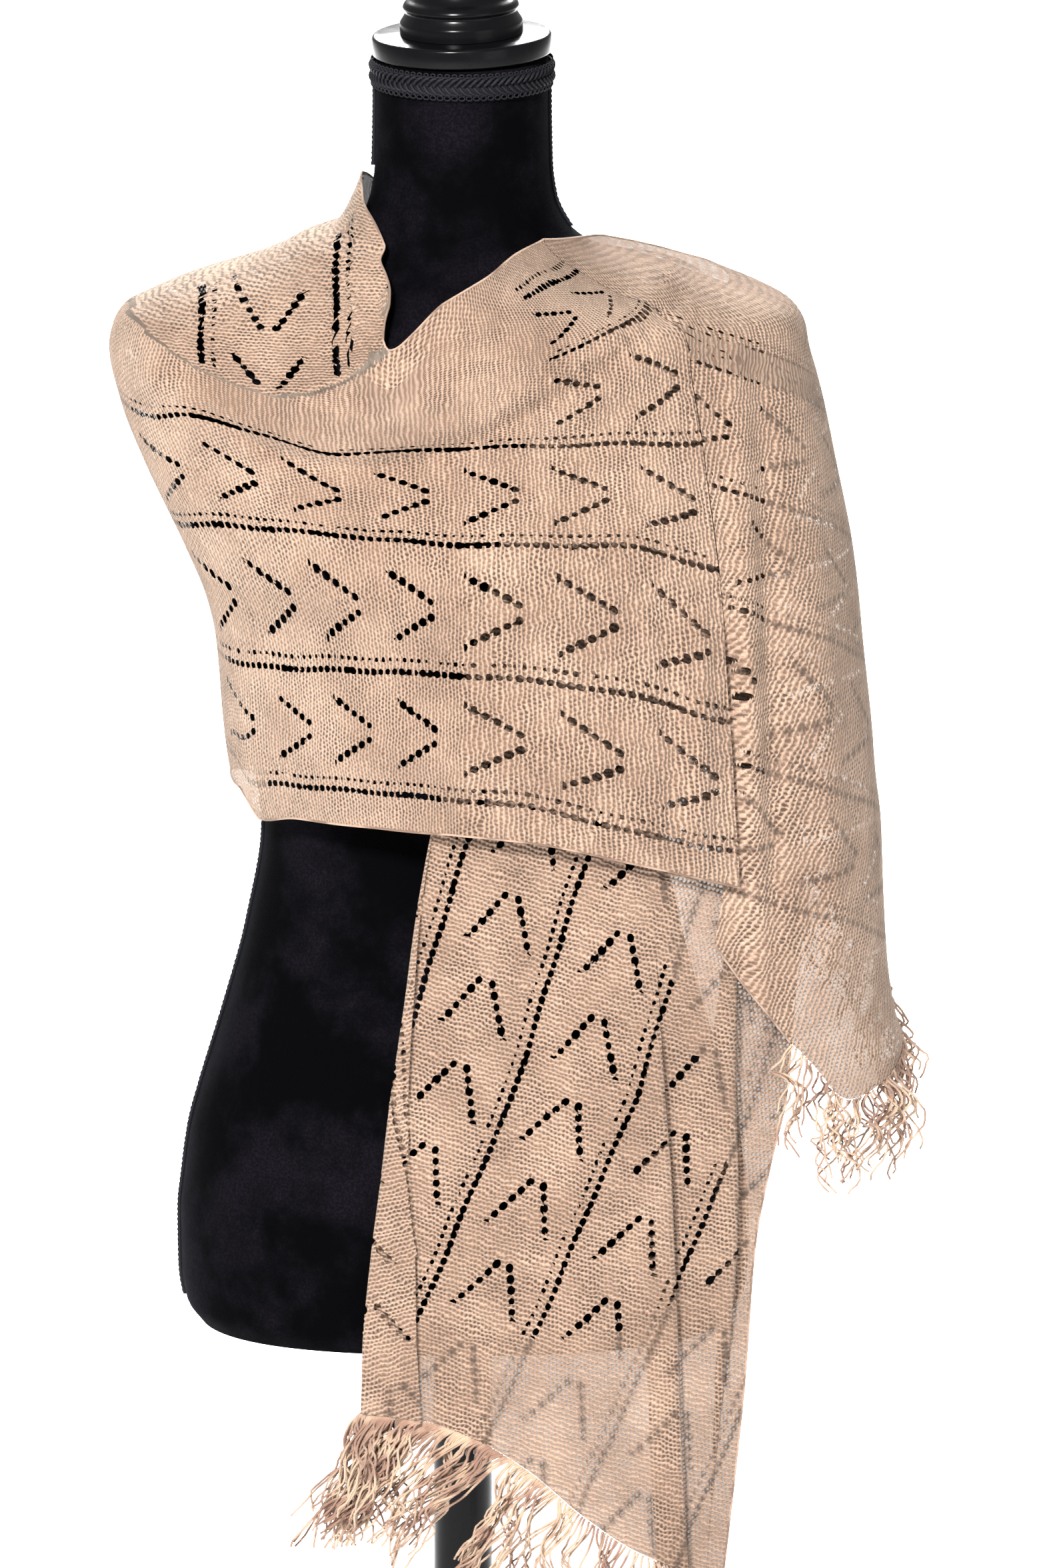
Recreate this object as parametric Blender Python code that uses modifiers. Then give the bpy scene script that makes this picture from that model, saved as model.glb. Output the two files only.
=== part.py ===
"""A knitted lace stole wrapped round a limbless dress form on a pole stand.

Metres, +Z up, and the form faces -Y. The origin is on the pole's axis, at the
underside of the base. The stole is one rectangle with a fringe on both short
ends: end A hangs down the front, the cloth goes over the left shoulder, across
the back, round the right shoulder and across the chest, and end B hangs over
the left side.

Angles go round the pole's axis: 0 faces -Y and 90 degrees is +X, the left
side of the form. "Lines" are the lengthwise eyelet lines of the lace, counted
across the stole: 0 is the top edge, 1 to 6 are the eyelet lines and 7 the hem.
"""

import math
from collections import namedtuple

import bmesh
import bpy
import numpy as np

# The cloth.
WALL = 0.0018
SEAM_GAP = 0.0003
OVAL = 0.55
LINES = 8
BACK_START = -269.6
EYELET_LENGTH = 0.0075
EYELET_HEIGHT = 0.0058
EYELET_SHARE = 0.34
LINE_BAND = 0.06
PANEL_CELLS = 3

# The pole stand.
NECK_TOP = 1.4625
NECK_RADIUS = 0.0508
TORSO_LOW = 0.698
TORSO_SIDES = 32
DISC_RADIUS = 0.0530
DISC_HEIGHT = 0.0120
CAP_TILT = math.radians(1.5)
POLE_RADIUS = 0.0175
COLLAR_RADIUS = 0.0240
BASE_RADIUS = 0.165
BASE_HEIGHT = 0.030
PIPING_RADIUS = 0.0015
TOUCH = 0.0003

# The corded piping on the side seams, in the stretches that show.
Piping = namedtuple("Piping", "name side low high")
PIPINGS = (
    Piping("form_piping_right", -1, 0.711, 1.250),
    Piping("form_piping_left", 1, 0.711, 1.250),
    Piping("form_neck_piping_right", -1, 1.397, 1.446),
    Piping("form_neck_piping_left", 1, 1.360, 1.446),
)

# Turned profiles, each from its own lowest or highest level.
Turned = namedtuple("Turned", "radius height")
FINIAL = (
    Turned(0, 0.0960),
    Turned(0.0100, 0.0945),
    Turned(0.0180, 0.0890),
    Turned(0.0215, 0.0800),
    Turned(0.0190, 0.0700),
    Turned(0.0120, 0.0620),
    Turned(0.0120, 0.0590),
    Turned(0.0170, 0.0560),
    Turned(0.0170, 0.0530),
    Turned(0.0215, 0.0420),
    Turned(0.0245, 0.0300),
    Turned(0.0285, 0.0220),
    Turned(0.0335, 0.0185),
    Turned(0.0345, 0.0160),
    Turned(0.0330, 0.0135),
    Turned(0.0340, 0.0110),
    Turned(0.0352, 0.0090),
    Turned(0.0363, 0.0070),
    Turned(0.0363, 0),
    Turned(0, 0),
)
NECK_DISC = (
    Turned(0, DISC_HEIGHT),
    Turned(DISC_RADIUS - 0.0012, DISC_HEIGHT),
    Turned(DISC_RADIUS, DISC_HEIGHT - 0.0012),
    Turned(DISC_RADIUS, 0.0010),
    Turned(DISC_RADIUS - 0.0010, 0),
    Turned(0, 0),
)
NECK_BRAID = (
    Turned(0.0545, -0.0006),
    Turned(0.0554, -0.0048),
    Turned(0.0549, -0.0083),
    Turned(0.0554, -0.0118),
    Turned(0.0545, -0.0160),
    Turned(0.0515, -0.0160),
    Turned(0.0515, -0.0006),
)
POLE = (
    Turned(0, TORSO_LOW - TOUCH),
    Turned(COLLAR_RADIUS, TORSO_LOW - TOUCH),
    Turned(COLLAR_RADIUS, TORSO_LOW - 0.0060),
    Turned(POLE_RADIUS, TORSO_LOW - 0.0140),
    Turned(POLE_RADIUS, BASE_HEIGHT + TOUCH),
    Turned(0, BASE_HEIGHT + TOUCH),
)
BASE = (
    Turned(0, BASE_HEIGHT),
    Turned(0.0300, BASE_HEIGHT),
    Turned(0.0340, BASE_HEIGHT - 0.0040),
    Turned(0.0460, BASE_HEIGHT - 0.0080),
    Turned(BASE_RADIUS - 0.0200, 0.0160),
    Turned(BASE_RADIUS - 0.0040, 0.0120),
    Turned(BASE_RADIUS, 0.0070),
    Turned(BASE_RADIUS, 0.0015),
    Turned(BASE_RADIUS - 0.0015, 0),
    Turned(0, 0),
)

# The fringes: the strip's cells, the strands' length with its slow and quick
# change along the strip, how far strands bend, and how far the first ones sweep.
Fringe = namedtuple("Fringe", "name cells length slow quick bend sweep stray")
FRONT_FRINGE = Fringe(
    "fringe_front", 122, 0.070, 0.012, 0.006, (0.0016, -0.0030, 0), -0.0135, 0.0030
)
SIDE_FRINGE = Fringe(
    "fringe_side", 88, 0.042, 0.008, 0.004, (0.0012, 0.0020, 0), 0.0, 0.0030
)
SIDE_FRINGE_SPAN = (0.985, 0.03)
STRIP_HEIGHT = 0.0030
STRIP_DEPTH = 0.0020
STRAND_STEPS = 2
STRAND_TAPER = 0.92
STRAND_TURN = 2.1
SLOW_WAVE = 15.0
QUICK_WAVE = 39.0

# The dress form: half width, front depth and back depth at each height.
Level = namedtuple("Level", "height half front back")
FORM = (
    Level(TORSO_LOW, 0.1560, 0.101, 0.107),
    Level(0.710, 0.1645, 0.109, 0.116),
    Level(0.730, 0.1675, 0.112, 0.120),
    Level(0.763, 0.1680, 0.114, 0.121),
    Level(0.789, 0.1655, 0.113, 0.119),
    Level(0.816, 0.1617, 0.111, 0.116),
    Level(0.841, 0.1552, 0.108, 0.111),
    Level(0.889, 0.1407, 0.102, 0.101),
    Level(0.940, 0.1270, 0.094, 0.090),
    Level(1.000, 0.1175, 0.089, 0.082),
    Level(1.060, 0.1270, 0.098, 0.087),
    Level(1.120, 0.1413, 0.112, 0.098),
    Level(1.170, 0.1550, 0.116, 0.105),
    Level(1.220, 0.1730, 0.112, 0.107),
    Level(1.260, 0.1810, 0.101, 0.104),
    Level(1.295, 0.1780, 0.089, 0.097),
    Level(1.312, 0.1620, 0.082, 0.090),
    Level(1.324, 0.1350, 0.076, 0.084),
    Level(1.338, 0.0980, 0.070, 0.077),
    Level(1.352, 0.0720, 0.064, 0.069),
    Level(1.361, 0.0630, 0.0600, 0.0620),
    Level(1.380, 0.0540, 0.0540, 0.0550),
    Level(1.400, 0.0515, 0.0515, 0.0515),
    Level(1.440, NECK_RADIUS, NECK_RADIUS, NECK_RADIUS),
    Level(NECK_TOP, NECK_RADIUS, NECK_RADIUS, NECK_RADIUS),
)

# The heights of the torso's rings, closest together where the shoulders slope.
BODY_RINGS = (0.720, 1.270, 14)
SHOULDER_RINGS = (1.295, 1.309, 1.320, 1.330, 1.341, 1.352, 1.361, 1.372, 1.385, 1.400, 1.4455)

# The outer cloth: how far it stands off the axis to each side at each height.
Drape = namedtuple("Drape", "height right left front back")
DRAPE = (
    Drape(0.540, 0.1250, 0.2620, 0.133, 0.118),
    Drape(0.863, 0.1250, 0.2620, 0.133, 0.117),
    Drape(0.888, 0.1250, 0.2564, 0.133, 0.116),
    Drape(0.917, 0.1250, 0.2525, 0.133, 0.115),
    Drape(0.960, 0.1265, 0.2500, 0.133, 0.112),
    Drape(1.000, 0.1300, 0.2485, 0.133, 0.109),
    Drape(1.032, 0.1380, 0.2450, 0.134, 0.108),
    Drape(1.058, 0.1416, 0.2430, 0.134, 0.108),
    Drape(1.113, 0.1463, 0.2372, 0.134, 0.111),
    Drape(1.137, 0.1515, 0.2350, 0.134, 0.113),
    Drape(1.168, 0.1639, 0.2312, 0.133, 0.116),
    Drape(1.222, 0.1890, 0.2205, 0.124, 0.118),
    Drape(1.256, 0.2020, 0.2135, 0.115, 0.117),
    Drape(1.289, 0.2088, 0.2050, 0.105, 0.113),
    Drape(1.301, 0.2066, 0.2030, 0.100, 0.109),
    Drape(1.311, 0.2010, 0.1975, 0.096, 0.105),
    Drape(1.3165, 0.1900, 0.1880, 0.093, 0.102),
    Drape(1.324, 0.1730, 0.1695, 0.089, 0.098),
    Drape(1.332, 0.1480, 0.1435, 0.084, 0.093),
    Drape(1.3395, 0.1250, 0.1220, 0.080, 0.088),
    Drape(1.3465, 0.1090, 0.1030, 0.076, 0.083),
    Drape(1.3525, 0.0980, 0.0870, 0.073, 0.080),
    Drape(1.3605, 0.0760, 0.0750, 0.070, 0.075),
    Drape(1.3775, 0.0655, 0.0670, 0.064, 0.067),
    Drape(1.396, 0.0580, 0.0610, 0.061, 0.062),
)

# The wound stretch: the height of each line at angles round the form.
Turn = namedtuple("Turn", "angle top line1 line2 line3 line4 line5 line6 hem")
TURNS = (
    Turn(BACK_START, 1.352, 1.348, 1.343, 1.337, 1.331, 1.325, 1.320, 1.317),
    Turn(-245, 1.342, 1.334, 1.314, 1.287, 1.258, 1.229, 1.201, 1.191),
    Turn(-220, 1.336, 1.322, 1.282, 1.238, 1.194, 1.150, 1.107, 1.092),
    Turn(-180, 1.346, 1.328, 1.268, 1.207, 1.145, 1.083, 1.022, 1.001),
    Turn(-140, 1.372, 1.349, 1.287, 1.214, 1.145, 1.078, 1.016, 0.996),
    Turn(-110, 1.388, 1.358, 1.322, 1.246, 1.172, 1.098, 1.042, 1.022),
    Turn(-90, 1.392, 1.361, 1.333, 1.260, 1.186, 1.106, 1.050, 1.030),
    Turn(-74, 1.387, 1.360, 1.332, 1.258, 1.189, 1.108, 1.049, 1.029),
    Turn(-66, 1.381, 1.358, 1.328, 1.257, 1.192, 1.108, 1.036, 1.013),
    Turn(-50, 1.372, 1.353, 1.308, 1.264, 1.197, 1.112, 1.041, 1.019),
    Turn(-35, 1.3595, 1.341, 1.283, 1.256, 1.199, 1.115, 1.043, 1.021),
    Turn(-22, 1.3430, 1.305, 1.270, 1.247, 1.199, 1.117, 1.044, 1.022),
    Turn(-16, 1.3300, 1.292, 1.267, 1.248, 1.198, 1.118, 1.044, 1.022),
    Turn(-12, 1.306, 1.284, 1.266, 1.249, 1.198, 1.118, 1.044, 1.022),
    Turn(-4, 1.331, 1.308, 1.274, 1.251, 1.197, 1.119, 1.044, 1.022),
    Turn(8, 1.345, 1.327, 1.291, 1.252, 1.196, 1.116, 1.040, 1.018),
    Turn(24, 1.357, 1.339, 1.311, 1.252, 1.194, 1.105, 1.022, 1.003),
    Turn(41, 1.363, 1.346, 1.326, 1.250, 1.177, 1.085, 1.007, 0.985),
)

# The wound stretches, each between two angles, with eyelet bands down to a line.
Stretch = namedtuple("Stretch", "name start end columns banded")
CHEST = Stretch("stole_chest", -61.9, 41, 19, LINES - 2)
SHOULDER = Stretch("stole_right_shoulder", -112, -62.15, 7, LINES - 2)
BACK = Stretch("stole_back", BACK_START, -112.3, 14, 2)
CHEST_EYELET_LINES = (3, 4, 5, 6)
CHEST_ARROW_PANELS = (3, 4, 5)
CHEST_EYELET_PITCH = 3
CHEST_EYELET_END = 13

# Layers under others lie closer to the form: how much, and over which angles
# and heights this grows.
UNDER_WING = 0.0080
UNDER_WING_TURN = (-200, -240)
LOWER_CHEST = 0.0070
LOWER_CHEST_TURNS = ((8, -25), (-78, -45))
LOWER_CHEST_HEIGHT = (1.30, 1.22)
WING_START_TURN = (46, 41)
WING_START_HEIGHT = (1.17, 1.11)

# Behind the shoulder the wing stands out over the layers below it.
WING_OVER = 0.0120
WING_OVER_TURN = (93, 125)
WING_CREST = (1.285, 1.315)
WING_CREST_EASE = 0.75

# The borders of the left wing, each as rows at equal steps along it.
Place = namedtuple("Place", "angle height")
WING_TOP = (Place(41.2, 1.363), Place(90, 1.3545), Place(130, 1.305), Place(165, 1.130))
WING_SEAM = (
    *(Place(41.2, height) for height in TURNS[-1][1:6]),
    Place(40.5, 1.072),
    Place(38.5, 0.975),
    Place(37.0, 0.950),
)
WING_HEM = (Place(37.0, 0.950), Place(43.0, 0.919), Place(49.0, 0.8885))
WING_END = (
    Place(165, 1.130),
    Place(145, 1.020),
    Place(120, 0.930),
    Place(90, 0.869),
    Place(62, 0.848),
    Place(49.0, 0.8885),
)

# The wing's columns, its band of eyelet lines, and its eyelets by row of cells.
WING_COLUMNS = 14
WING_BANDED = 3
EyeletRow = namedtuple("EyeletRow", "row first pitch count")
WING_EYELETS = (EyeletRow(11, 2, 3, 4), EyeletRow(14, 3, 3, 4), EyeletRow(17, 2, 2, 6))

# End A down the front: its turned strip, its two pleats and its outline.
Fall = namedtuple("Fall", "height fold strip pleat1 tuck1 pleat2 tuck2 side")
FALL = (
    Fall(0.560, -0.0655, 0.044, 0.1370, 0.016, 0.1500, 0.0005, 0.1610),
    Fall(0.671, -0.0612, 0.036, 0.1310, 0.016, 0.1600, 0.0030, 0.1690),
    Fall(0.706, -0.0602, 0.033, 0.1300, 0.016, 0.1650, 0.0050, 0.1710),
    Fall(0.767, -0.0545, 0.026, 0.1275, 0.015, 0.1700, 0.0100, 0.1780),
    Fall(0.805, -0.0495, 0.018, 0.1260, 0.014, 0.1705, 0.0130, 0.1880),
    Fall(0.855, -0.0435, 0.011, 0.1220, 0.010, 0.1690, 0.0140, 0.2050),
    Fall(0.920, -0.0340, 0.005, 0.1180, 0.003, 0.1680, 0.0080, 0.2120),
    Fall(0.980, -0.0260, 0.002, 0.1150, 0.000, 0.1660, 0.0010, 0.2110),
    Fall(1.100, -0.0010, 0.000, 0.1050, 0.000, 0.1550, 0.0000, 0.2000),
    Fall(1.210, 0.0260, 0.000, 0.0950, 0.000, 0.1430, 0.0000, 0.1840),
    Fall(1.300, 0.0520, 0.000, 0.1050, 0.000, 0.1400, 0.0000, 0.1720),
    Fall(1.352, 0.0750, 0.000, 0.1150, 0.000, 0.1450, 0.0000, 0.1680),
)

# End A's lower edge: its height at places across the front.
Edge = namedtuple("Edge", "across height")
FALL_HEM = (
    Edge(-0.066, 0.668),
    Edge(-0.030, 0.665),
    Edge(-0.008, 0.657),
    Edge(0.018, 0.648),
    Edge(0.036, 0.636),
    Edge(0.052, 0.618),
    Edge(0.078, 0.601),
    Edge(0.098, 0.586),
    Edge(0.121, 0.573),
    Edge(0.170, 0.558),
)

# Rows of end A from the shoulder's crest down, and the count below them.
FALL_CREST_ROWS = (0, 0.003, 0.010, 0.022, 0.040, 0.065, 0.100, 0.160, 0.250, 0.340, 0.410)
FALL_ROWS = 14
FALL_OPEN = (5, 6, 7, 8, 9, 16)
FALL_HALF = 0.20
CREST_CURVE = 1.1
CREST_SPREAD = 0.12

# Sections of end A: how far the turned strip stands out, the plain cloth beside
# it and between it and the pleats, and the depth and bend of a pleat.
STRIP_OUT = 0.0050
STRIP_EDGE = 0.0080
PLAIN_CELLS = 6
PLEAT_STEP = 0.0085
PLEAT_LIP = 0.0012
PLEAT_LEAST = 0.0020
PLEAT_PLAIN = 0.0060

# Eyelets of end A seen from the front: how many along a line from start to end.
Eyelets = namedtuple("Eyelets", "start end count")
FALL_EYELETS = (
    Eyelets((0.005, 1.005), (-0.025, 0.925), 3),
    Eyelets((0.072, 1.000), (-0.022, 0.725), 10),
    Eyelets((0.108, 0.890), (0.052, 0.745), 6),
    Eyelets((0.040, 0.975), (0.038, 0.925), 2),
    Eyelets((0.000, 0.900), (0.022, 0.860), 2),
    Eyelets((0.070, 0.880), (0.085, 0.840), 2),
    Eyelets((0.045, 0.800), (0.060, 0.770), 2),
    Eyelets((-0.010, 0.830), (0.000, 0.800), 2),
    Eyelets((0.010, 0.680), (0.012, 0.650), 2),
    Eyelets((0.095, 0.680), (0.100, 0.640), 2),
    Eyelets((0.150, 0.840), (0.134, 0.720), 5),
)

# How far end A lies inside the outer cloth at each height.
Inset = namedtuple("Inset", "height depth")
FALL_INSET = (
    Inset(0.540, 0.0130),
    Inset(1.090, 0.0130),
    Inset(1.170, 0.0114),
    Inset(1.250, 0.0070),
    Inset(1.300, 0.0080),
    Inset(1.318, 0.0080),
    Inset(1.336, 0.0050),
    Inset(1.400, 0.0050),
)

# Soft folds seen from the front: each follows a bent line, and a groove is negative.
Fold = namedtuple("Fold", "start bend end width height")
ROLL_FOLDS = (
    Fold((-0.180, 1.281), (-0.039, 1.213), (0.122, 1.333), 0.013, 0.0115),
    Fold((-0.150, 1.268), (-0.046, 1.190), (0.126, 1.328), 0.006, -0.0060),
    Fold((-0.010, 1.246), (0.070, 1.262), (0.130, 1.312), 0.008, 0.0055),
    Fold((-0.041, 1.310), (-0.072, 1.286), (-0.100, 1.284), 0.008, -0.0070),
)
CHEST_FOLDS = (
    *ROLL_FOLDS,
    Fold((0.140, 1.150), (0.142, 1.080), (0.139, 1.000), 0.007, 0.0040),
    Fold((0.120, 1.160), (0.123, 1.090), (0.124, 1.010), 0.007, -0.0030),
    Fold((-0.120, 1.170), (-0.020, 1.150), (0.090, 1.165), 0.016, 0.0035),
    Fold((-0.100, 1.060), (0.000, 1.075), (0.110, 1.055), 0.014, 0.0025),
)
WING_FOLDS = (
    *ROLL_FOLDS,
    Fold((0.160, 1.300), (0.172, 1.120), (0.168, 0.960), 0.008, 0.0040),
    Fold((0.176, 1.280), (0.186, 1.100), (0.184, 0.930), 0.007, -0.0040),
    Fold((0.195, 1.270), (0.214, 1.080), (0.222, 0.900), 0.012, 0.0050),
)
FALL_FOLDS = (
    Fold((0.010, 1.010), (0.000, 0.840), (-0.010, 0.660), 0.011, 0.0030),
    Fold((0.062, 1.000), (0.040, 0.840), (0.022, 0.650), 0.012, -0.0035),
    Fold((0.092, 1.000), (0.078, 0.800), (0.072, 0.620), 0.012, 0.0040),
)
BACK_FOLDS = (
    Fold((0.060, 1.325), (0.000, 1.280), (-0.120, 1.300), 0.010, 0.0045),
    Fold((0.070, 1.290), (0.010, 1.220), (-0.110, 1.225), 0.011, 0.0050),
    Fold((0.070, 1.240), (0.010, 1.150), (-0.100, 1.140), 0.011, 0.0045),
    Fold((0.060, 1.180), (0.010, 1.080), (-0.100, 1.060), 0.011, 0.0040),
)

# Colours and finishes.
Finish = namedtuple("Finish", "colour roughness metallic")
YARN = Finish((0.56, 0.40, 0.26, 1), 0.90, 0.0)
STRAW = Finish((0.66, 0.50, 0.33, 1), 0.90, 0.0)
VELVET = Finish((0.010, 0.011, 0.014, 1), 0.95, 0.0)
GIMP = Finish((0.013, 0.013, 0.015, 1), 0.70, 0.0)
TURNED_WOOD = Finish((0.008, 0.008, 0.010, 1), 0.30, 0.0)


def column(rows, name):
    return np.array([getattr(row, name) for row in rows])


def eased(rows, key, name, at):
    """A column of a table between its rows, without overshoot."""
    keys, values = column(rows, key), column(rows, name)
    at = np.clip(at, keys[0], keys[-1])
    step = np.diff(keys)
    rise = np.diff(values) / step
    both = rise[:-1] + rise[1:]
    agree = rise[:-1] * rise[1:] > 0
    slope = np.concatenate([rise[:1], np.zeros(len(both)), rise[-1:]])
    slope[1:-1][agree] = 2 * rise[:-1][agree] * rise[1:][agree] / both[agree]
    i = np.clip(np.searchsorted(keys, at) - 1, 0, len(step) - 1)
    f = (at - keys[i]) / step[i]
    g = 1 - f
    start = values[i] * g * g * (1 + 2 * f) + slope[i] * step[i] * f * g * g
    end = values[i + 1] * f * f * (3 - 2 * f) - slope[i + 1] * step[i] * f * f * g
    return start + end


def along(rows, name, u):
    """A column of a table whose rows stand at equal steps from 0 to 1."""
    steps = np.linspace(0, 1, len(rows))
    Row = namedtuple("Row", "step value")
    table = [Row(s, value) for s, value in zip(steps, column(rows, name))]
    return eased(table, "step", "value", u)


def blend(low, high, at):
    """0 below low, 1 above high, and smooth between."""
    f = np.clip((at - low) / (high - low), 0, 1)
    return f * f * (3 - 2 * f)


def oval(angle, half, front, back, height):
    """Points round an oval with its own depth to the front and the back."""
    ahead = np.cos(angle)
    depth = np.where(ahead > 0, front, back)
    fullness = OVAL * np.clip(1 - depth / half, 0, 0.4)
    y = -depth * ahead * (1 + fullness * np.sin(angle) ** 2)
    return np.stack([half * np.sin(angle), y, height], -1)


def form_point(angle, height):
    """The dress form's skin."""
    half = eased(FORM, "height", "half", height)
    front = eased(FORM, "height", "front", height)
    back = eased(FORM, "height", "back", height)
    return oval(angle, half, front, back, height)


def drape_point(angle, height):
    """The outer cloth's surface without its folds."""
    side = np.where(
        np.sin(angle) < 0,
        eased(DRAPE, "height", "right", height),
        eased(DRAPE, "height", "left", height),
    )
    front = eased(DRAPE, "height", "front", height)
    back = eased(DRAPE, "height", "back", height)
    return oval(angle, side, front, back, height)


def moved_out(surface, angle, height, distance):
    """Points of a surface moved along its own normal."""
    small_angle, small_height = 0.02, 0.002
    round_it = surface(angle + small_angle, height) - surface(angle - small_angle, height)
    up_it = surface(angle, height + small_height) - surface(angle, height - small_height)
    normal = np.cross(round_it, up_it)
    normal /= np.linalg.norm(normal, axis=-1, keepdims=True)
    return surface(angle, height) + normal * np.asarray(distance)[..., None]


def fold_lift(folds, x, z):
    """How far the folds lift the cloth at a place seen from the front."""
    lift = np.zeros_like(x)
    t = np.linspace(0, 1, 41)[:, None]
    for fold in folds:
        start, bend, end = (np.array(p) for p in (fold.start, fold.bend, fold.end))
        line = start * (1 - t) ** 2 + 2 * bend * t * (1 - t) + end * t**2
        away = np.hypot(x[..., None] - line[:, 0], z[..., None] - line[:, 1])
        nearest = away.argmin(-1)
        fade = np.sin(np.pi * np.clip(t[nearest, 0], 0.06, 0.94)) ** 0.5
        lift += fold.height * fade * np.exp(-((away.min(-1) / fold.width) ** 2))
    return lift


def turn_heights(angle):
    """The heights of the lines at an angle in degrees, the top edge first."""
    names = Turn._fields[1:]
    return np.stack([eased(TURNS, "angle", name, angle) for name in names], -1)


def wound_point(degrees, line):
    """The stretch that is wound round the back, right side and chest."""
    heights = turn_heights(degrees)
    whole = np.clip(np.floor(line).astype(int), 0, LINES - 2)
    low = np.take_along_axis(heights, whole[..., None], -1)[..., 0]
    high = np.take_along_axis(heights, whole[..., None] + 1, -1)[..., 0]
    height = low + (high - low) * (line - whole)
    angle = np.radians(degrees)
    flat = drape_point(angle, height)
    front_lift = fold_lift(CHEST_FOLDS, flat[..., 0], height) * (np.cos(angle) > 0)
    back_lift = fold_lift(BACK_FOLDS, flat[..., 0], height) * (np.cos(angle) < 0)
    lift = front_lift + back_lift
    under_wing = np.minimum(eased(FALL_INSET, "height", "depth", height), UNDER_WING)
    lift -= under_wing * blend(*UNDER_WING_TURN, degrees)
    turns = [blend(*turn, degrees) for turn in LOWER_CHEST_TURNS]
    lift -= LOWER_CHEST * math.prod(turns) * blend(*LOWER_CHEST_HEIGHT, height)
    return moved_out(drape_point, angle, height, lift)


def wing_point(u, v):
    """The left wing: u goes from the chest to end B, v from the top edge to the hem."""
    sides = []
    for name in Place._fields:
        top, hem = along(WING_TOP, name, u), along(WING_HEM, name, u)
        seam = np.interp(v, np.linspace(0, 1, LINES), column(WING_SEAM, name))
        end = along(WING_END, name, v)
        corners = (WING_TOP[0], WING_TOP[-1], WING_HEM[0], WING_HEM[-1])
        a, b, c, d = column(corners, name)
        flat = (a * (1 - u) + b * u) * (1 - v) + (c * (1 - u) + d * u) * v
        sides.append(top * (1 - v) + hem * v + seam * (1 - u) + end * u - flat)
    degrees, height = sides
    angle = np.radians(degrees)
    flat = drape_point(angle, height)
    lift = fold_lift(WING_FOLDS, flat[..., 0], height) * (np.cos(angle) > 0)
    lift -= LOWER_CHEST * blend(*WING_START_TURN, degrees) * blend(*WING_START_HEIGHT, height)
    crest = 1 - WING_CREST_EASE * blend(*WING_CREST, height)
    lift += WING_OVER * blend(*WING_OVER_TURN, degrees) * crest
    return moved_out(drape_point, angle, height, lift)


def fall_sections(height):
    """End A across at one height: each station's place across and depth behind the face."""
    at = {name: eased(FALL, "height", name, height) for name in Fall._fields[1:]}
    fold, crease = at["fold"], at["fold"] + np.maximum(at["strip"], 0.0008)
    turned = blend(0.0, 0.004, at["strip"])
    plain = fold + STRIP_EDGE
    stations = [
        (crease, -STRIP_OUT * turned),
        ((fold + crease) / 2, -1.08 * STRIP_OUT * turned),
        (fold + 0.0015 * turned, -0.88 * STRIP_OUT * turned),
        (fold - 0.0006 * turned - 0.0001, -0.48 * STRIP_OUT * turned),
        (fold + 0.0010, 0.08 * STRIP_OUT * turned),
    ]
    for i in range(PLAIN_CELLS):
        stations.append((plain + (at["pleat1"] - plain) * i / PLAIN_CELLS, 0.0))
    depth = 0.0
    for line, tuck, after in (("pleat1", "tuck1", "pleat2"), ("pleat2", "tuck2", "side")):
        line, tuck, after = at[line], at[tuck], at[after]
        full = blend(0.0, 0.004, tuck)
        step = PLEAT_STEP * blend(0.0, 0.010, tuck)
        stations += [
            (line - 0.0015, depth),
            (line + PLEAT_LIP * full, depth + 0.22 * step),
            (line - PLEAT_LIP * full, depth + 0.42 * step),
            (line - (tuck + PLEAT_LEAST) * full, depth + 0.68 * step),
            (line + PLEAT_PLAIN, depth + step),
        ]
        for i in (1, 2):
            beyond = (after - line - PLEAT_PLAIN - PLEAT_LEAST) * i / 3
            stations.append((line + PLEAT_PLAIN + beyond, depth + step))
        depth = depth + step
    stations.append((at["side"], depth))
    across = np.stack([s[0] for s in stations], -1)
    behind = np.stack([s[1] * np.ones_like(height) for s in stations], -1)
    return across, behind


FALL_STATIONS = fall_sections(np.array([0.9]))[0].shape[-1]
FRINGE_STATIONS = np.array([*range(4, 12), *range(15, 19), *range(22, FALL_STATIONS)])


def fall_surface(across, height, behind):
    """Points of end A at a place across and a height, behind the front face."""
    side = eased(DRAPE, "height", "left", height)
    half = np.where(across < 0, FALL_HALF, side)
    angle = np.arcsin(np.clip(across / half, -0.98, 0.99998))
    lift = fold_lift(FALL_FOLDS, across, height)
    inset = eased(FALL_INSET, "height", "depth", height)

    def surface(a, h):
        wide = np.where(across < 0, FALL_HALF, eased(DRAPE, "height", "left", h))
        front = eased(DRAPE, "height", "front", h)
        back = eased(DRAPE, "height", "back", h)
        return oval(a, wide, front, back, h)

    return moved_out(surface, angle, height, lift - inset - behind)


def fall_point(station, q):
    """End A: station counts across, q goes from the shoulder (0) to the hem (1)."""
    index = np.round(station).astype(int)
    share = index / (FALL_STATIONS - 1)
    crest = turn_heights(BACK_START)
    top = crest[0] + (crest[-1] - crest[0]) * share**CREST_CURVE
    crest_across = eased(DRAPE, "height", "left", top)

    def place(height):
        across, behind = fall_sections(height)
        here = np.take_along_axis(across, index[..., None], -1)[..., 0]
        depth = np.take_along_axis(behind, index[..., None], -1)[..., 0]
        return here + (crest_across - here) * blend(CREST_SPREAD, 0, q), depth

    height = top
    for _ in range(3):
        here, _ = place(height)
        height = top + (eased(FALL_HEM, "across", "height", here) - top) * q
    here, depth = place(height)
    return fall_surface(here, height, depth)


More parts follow.
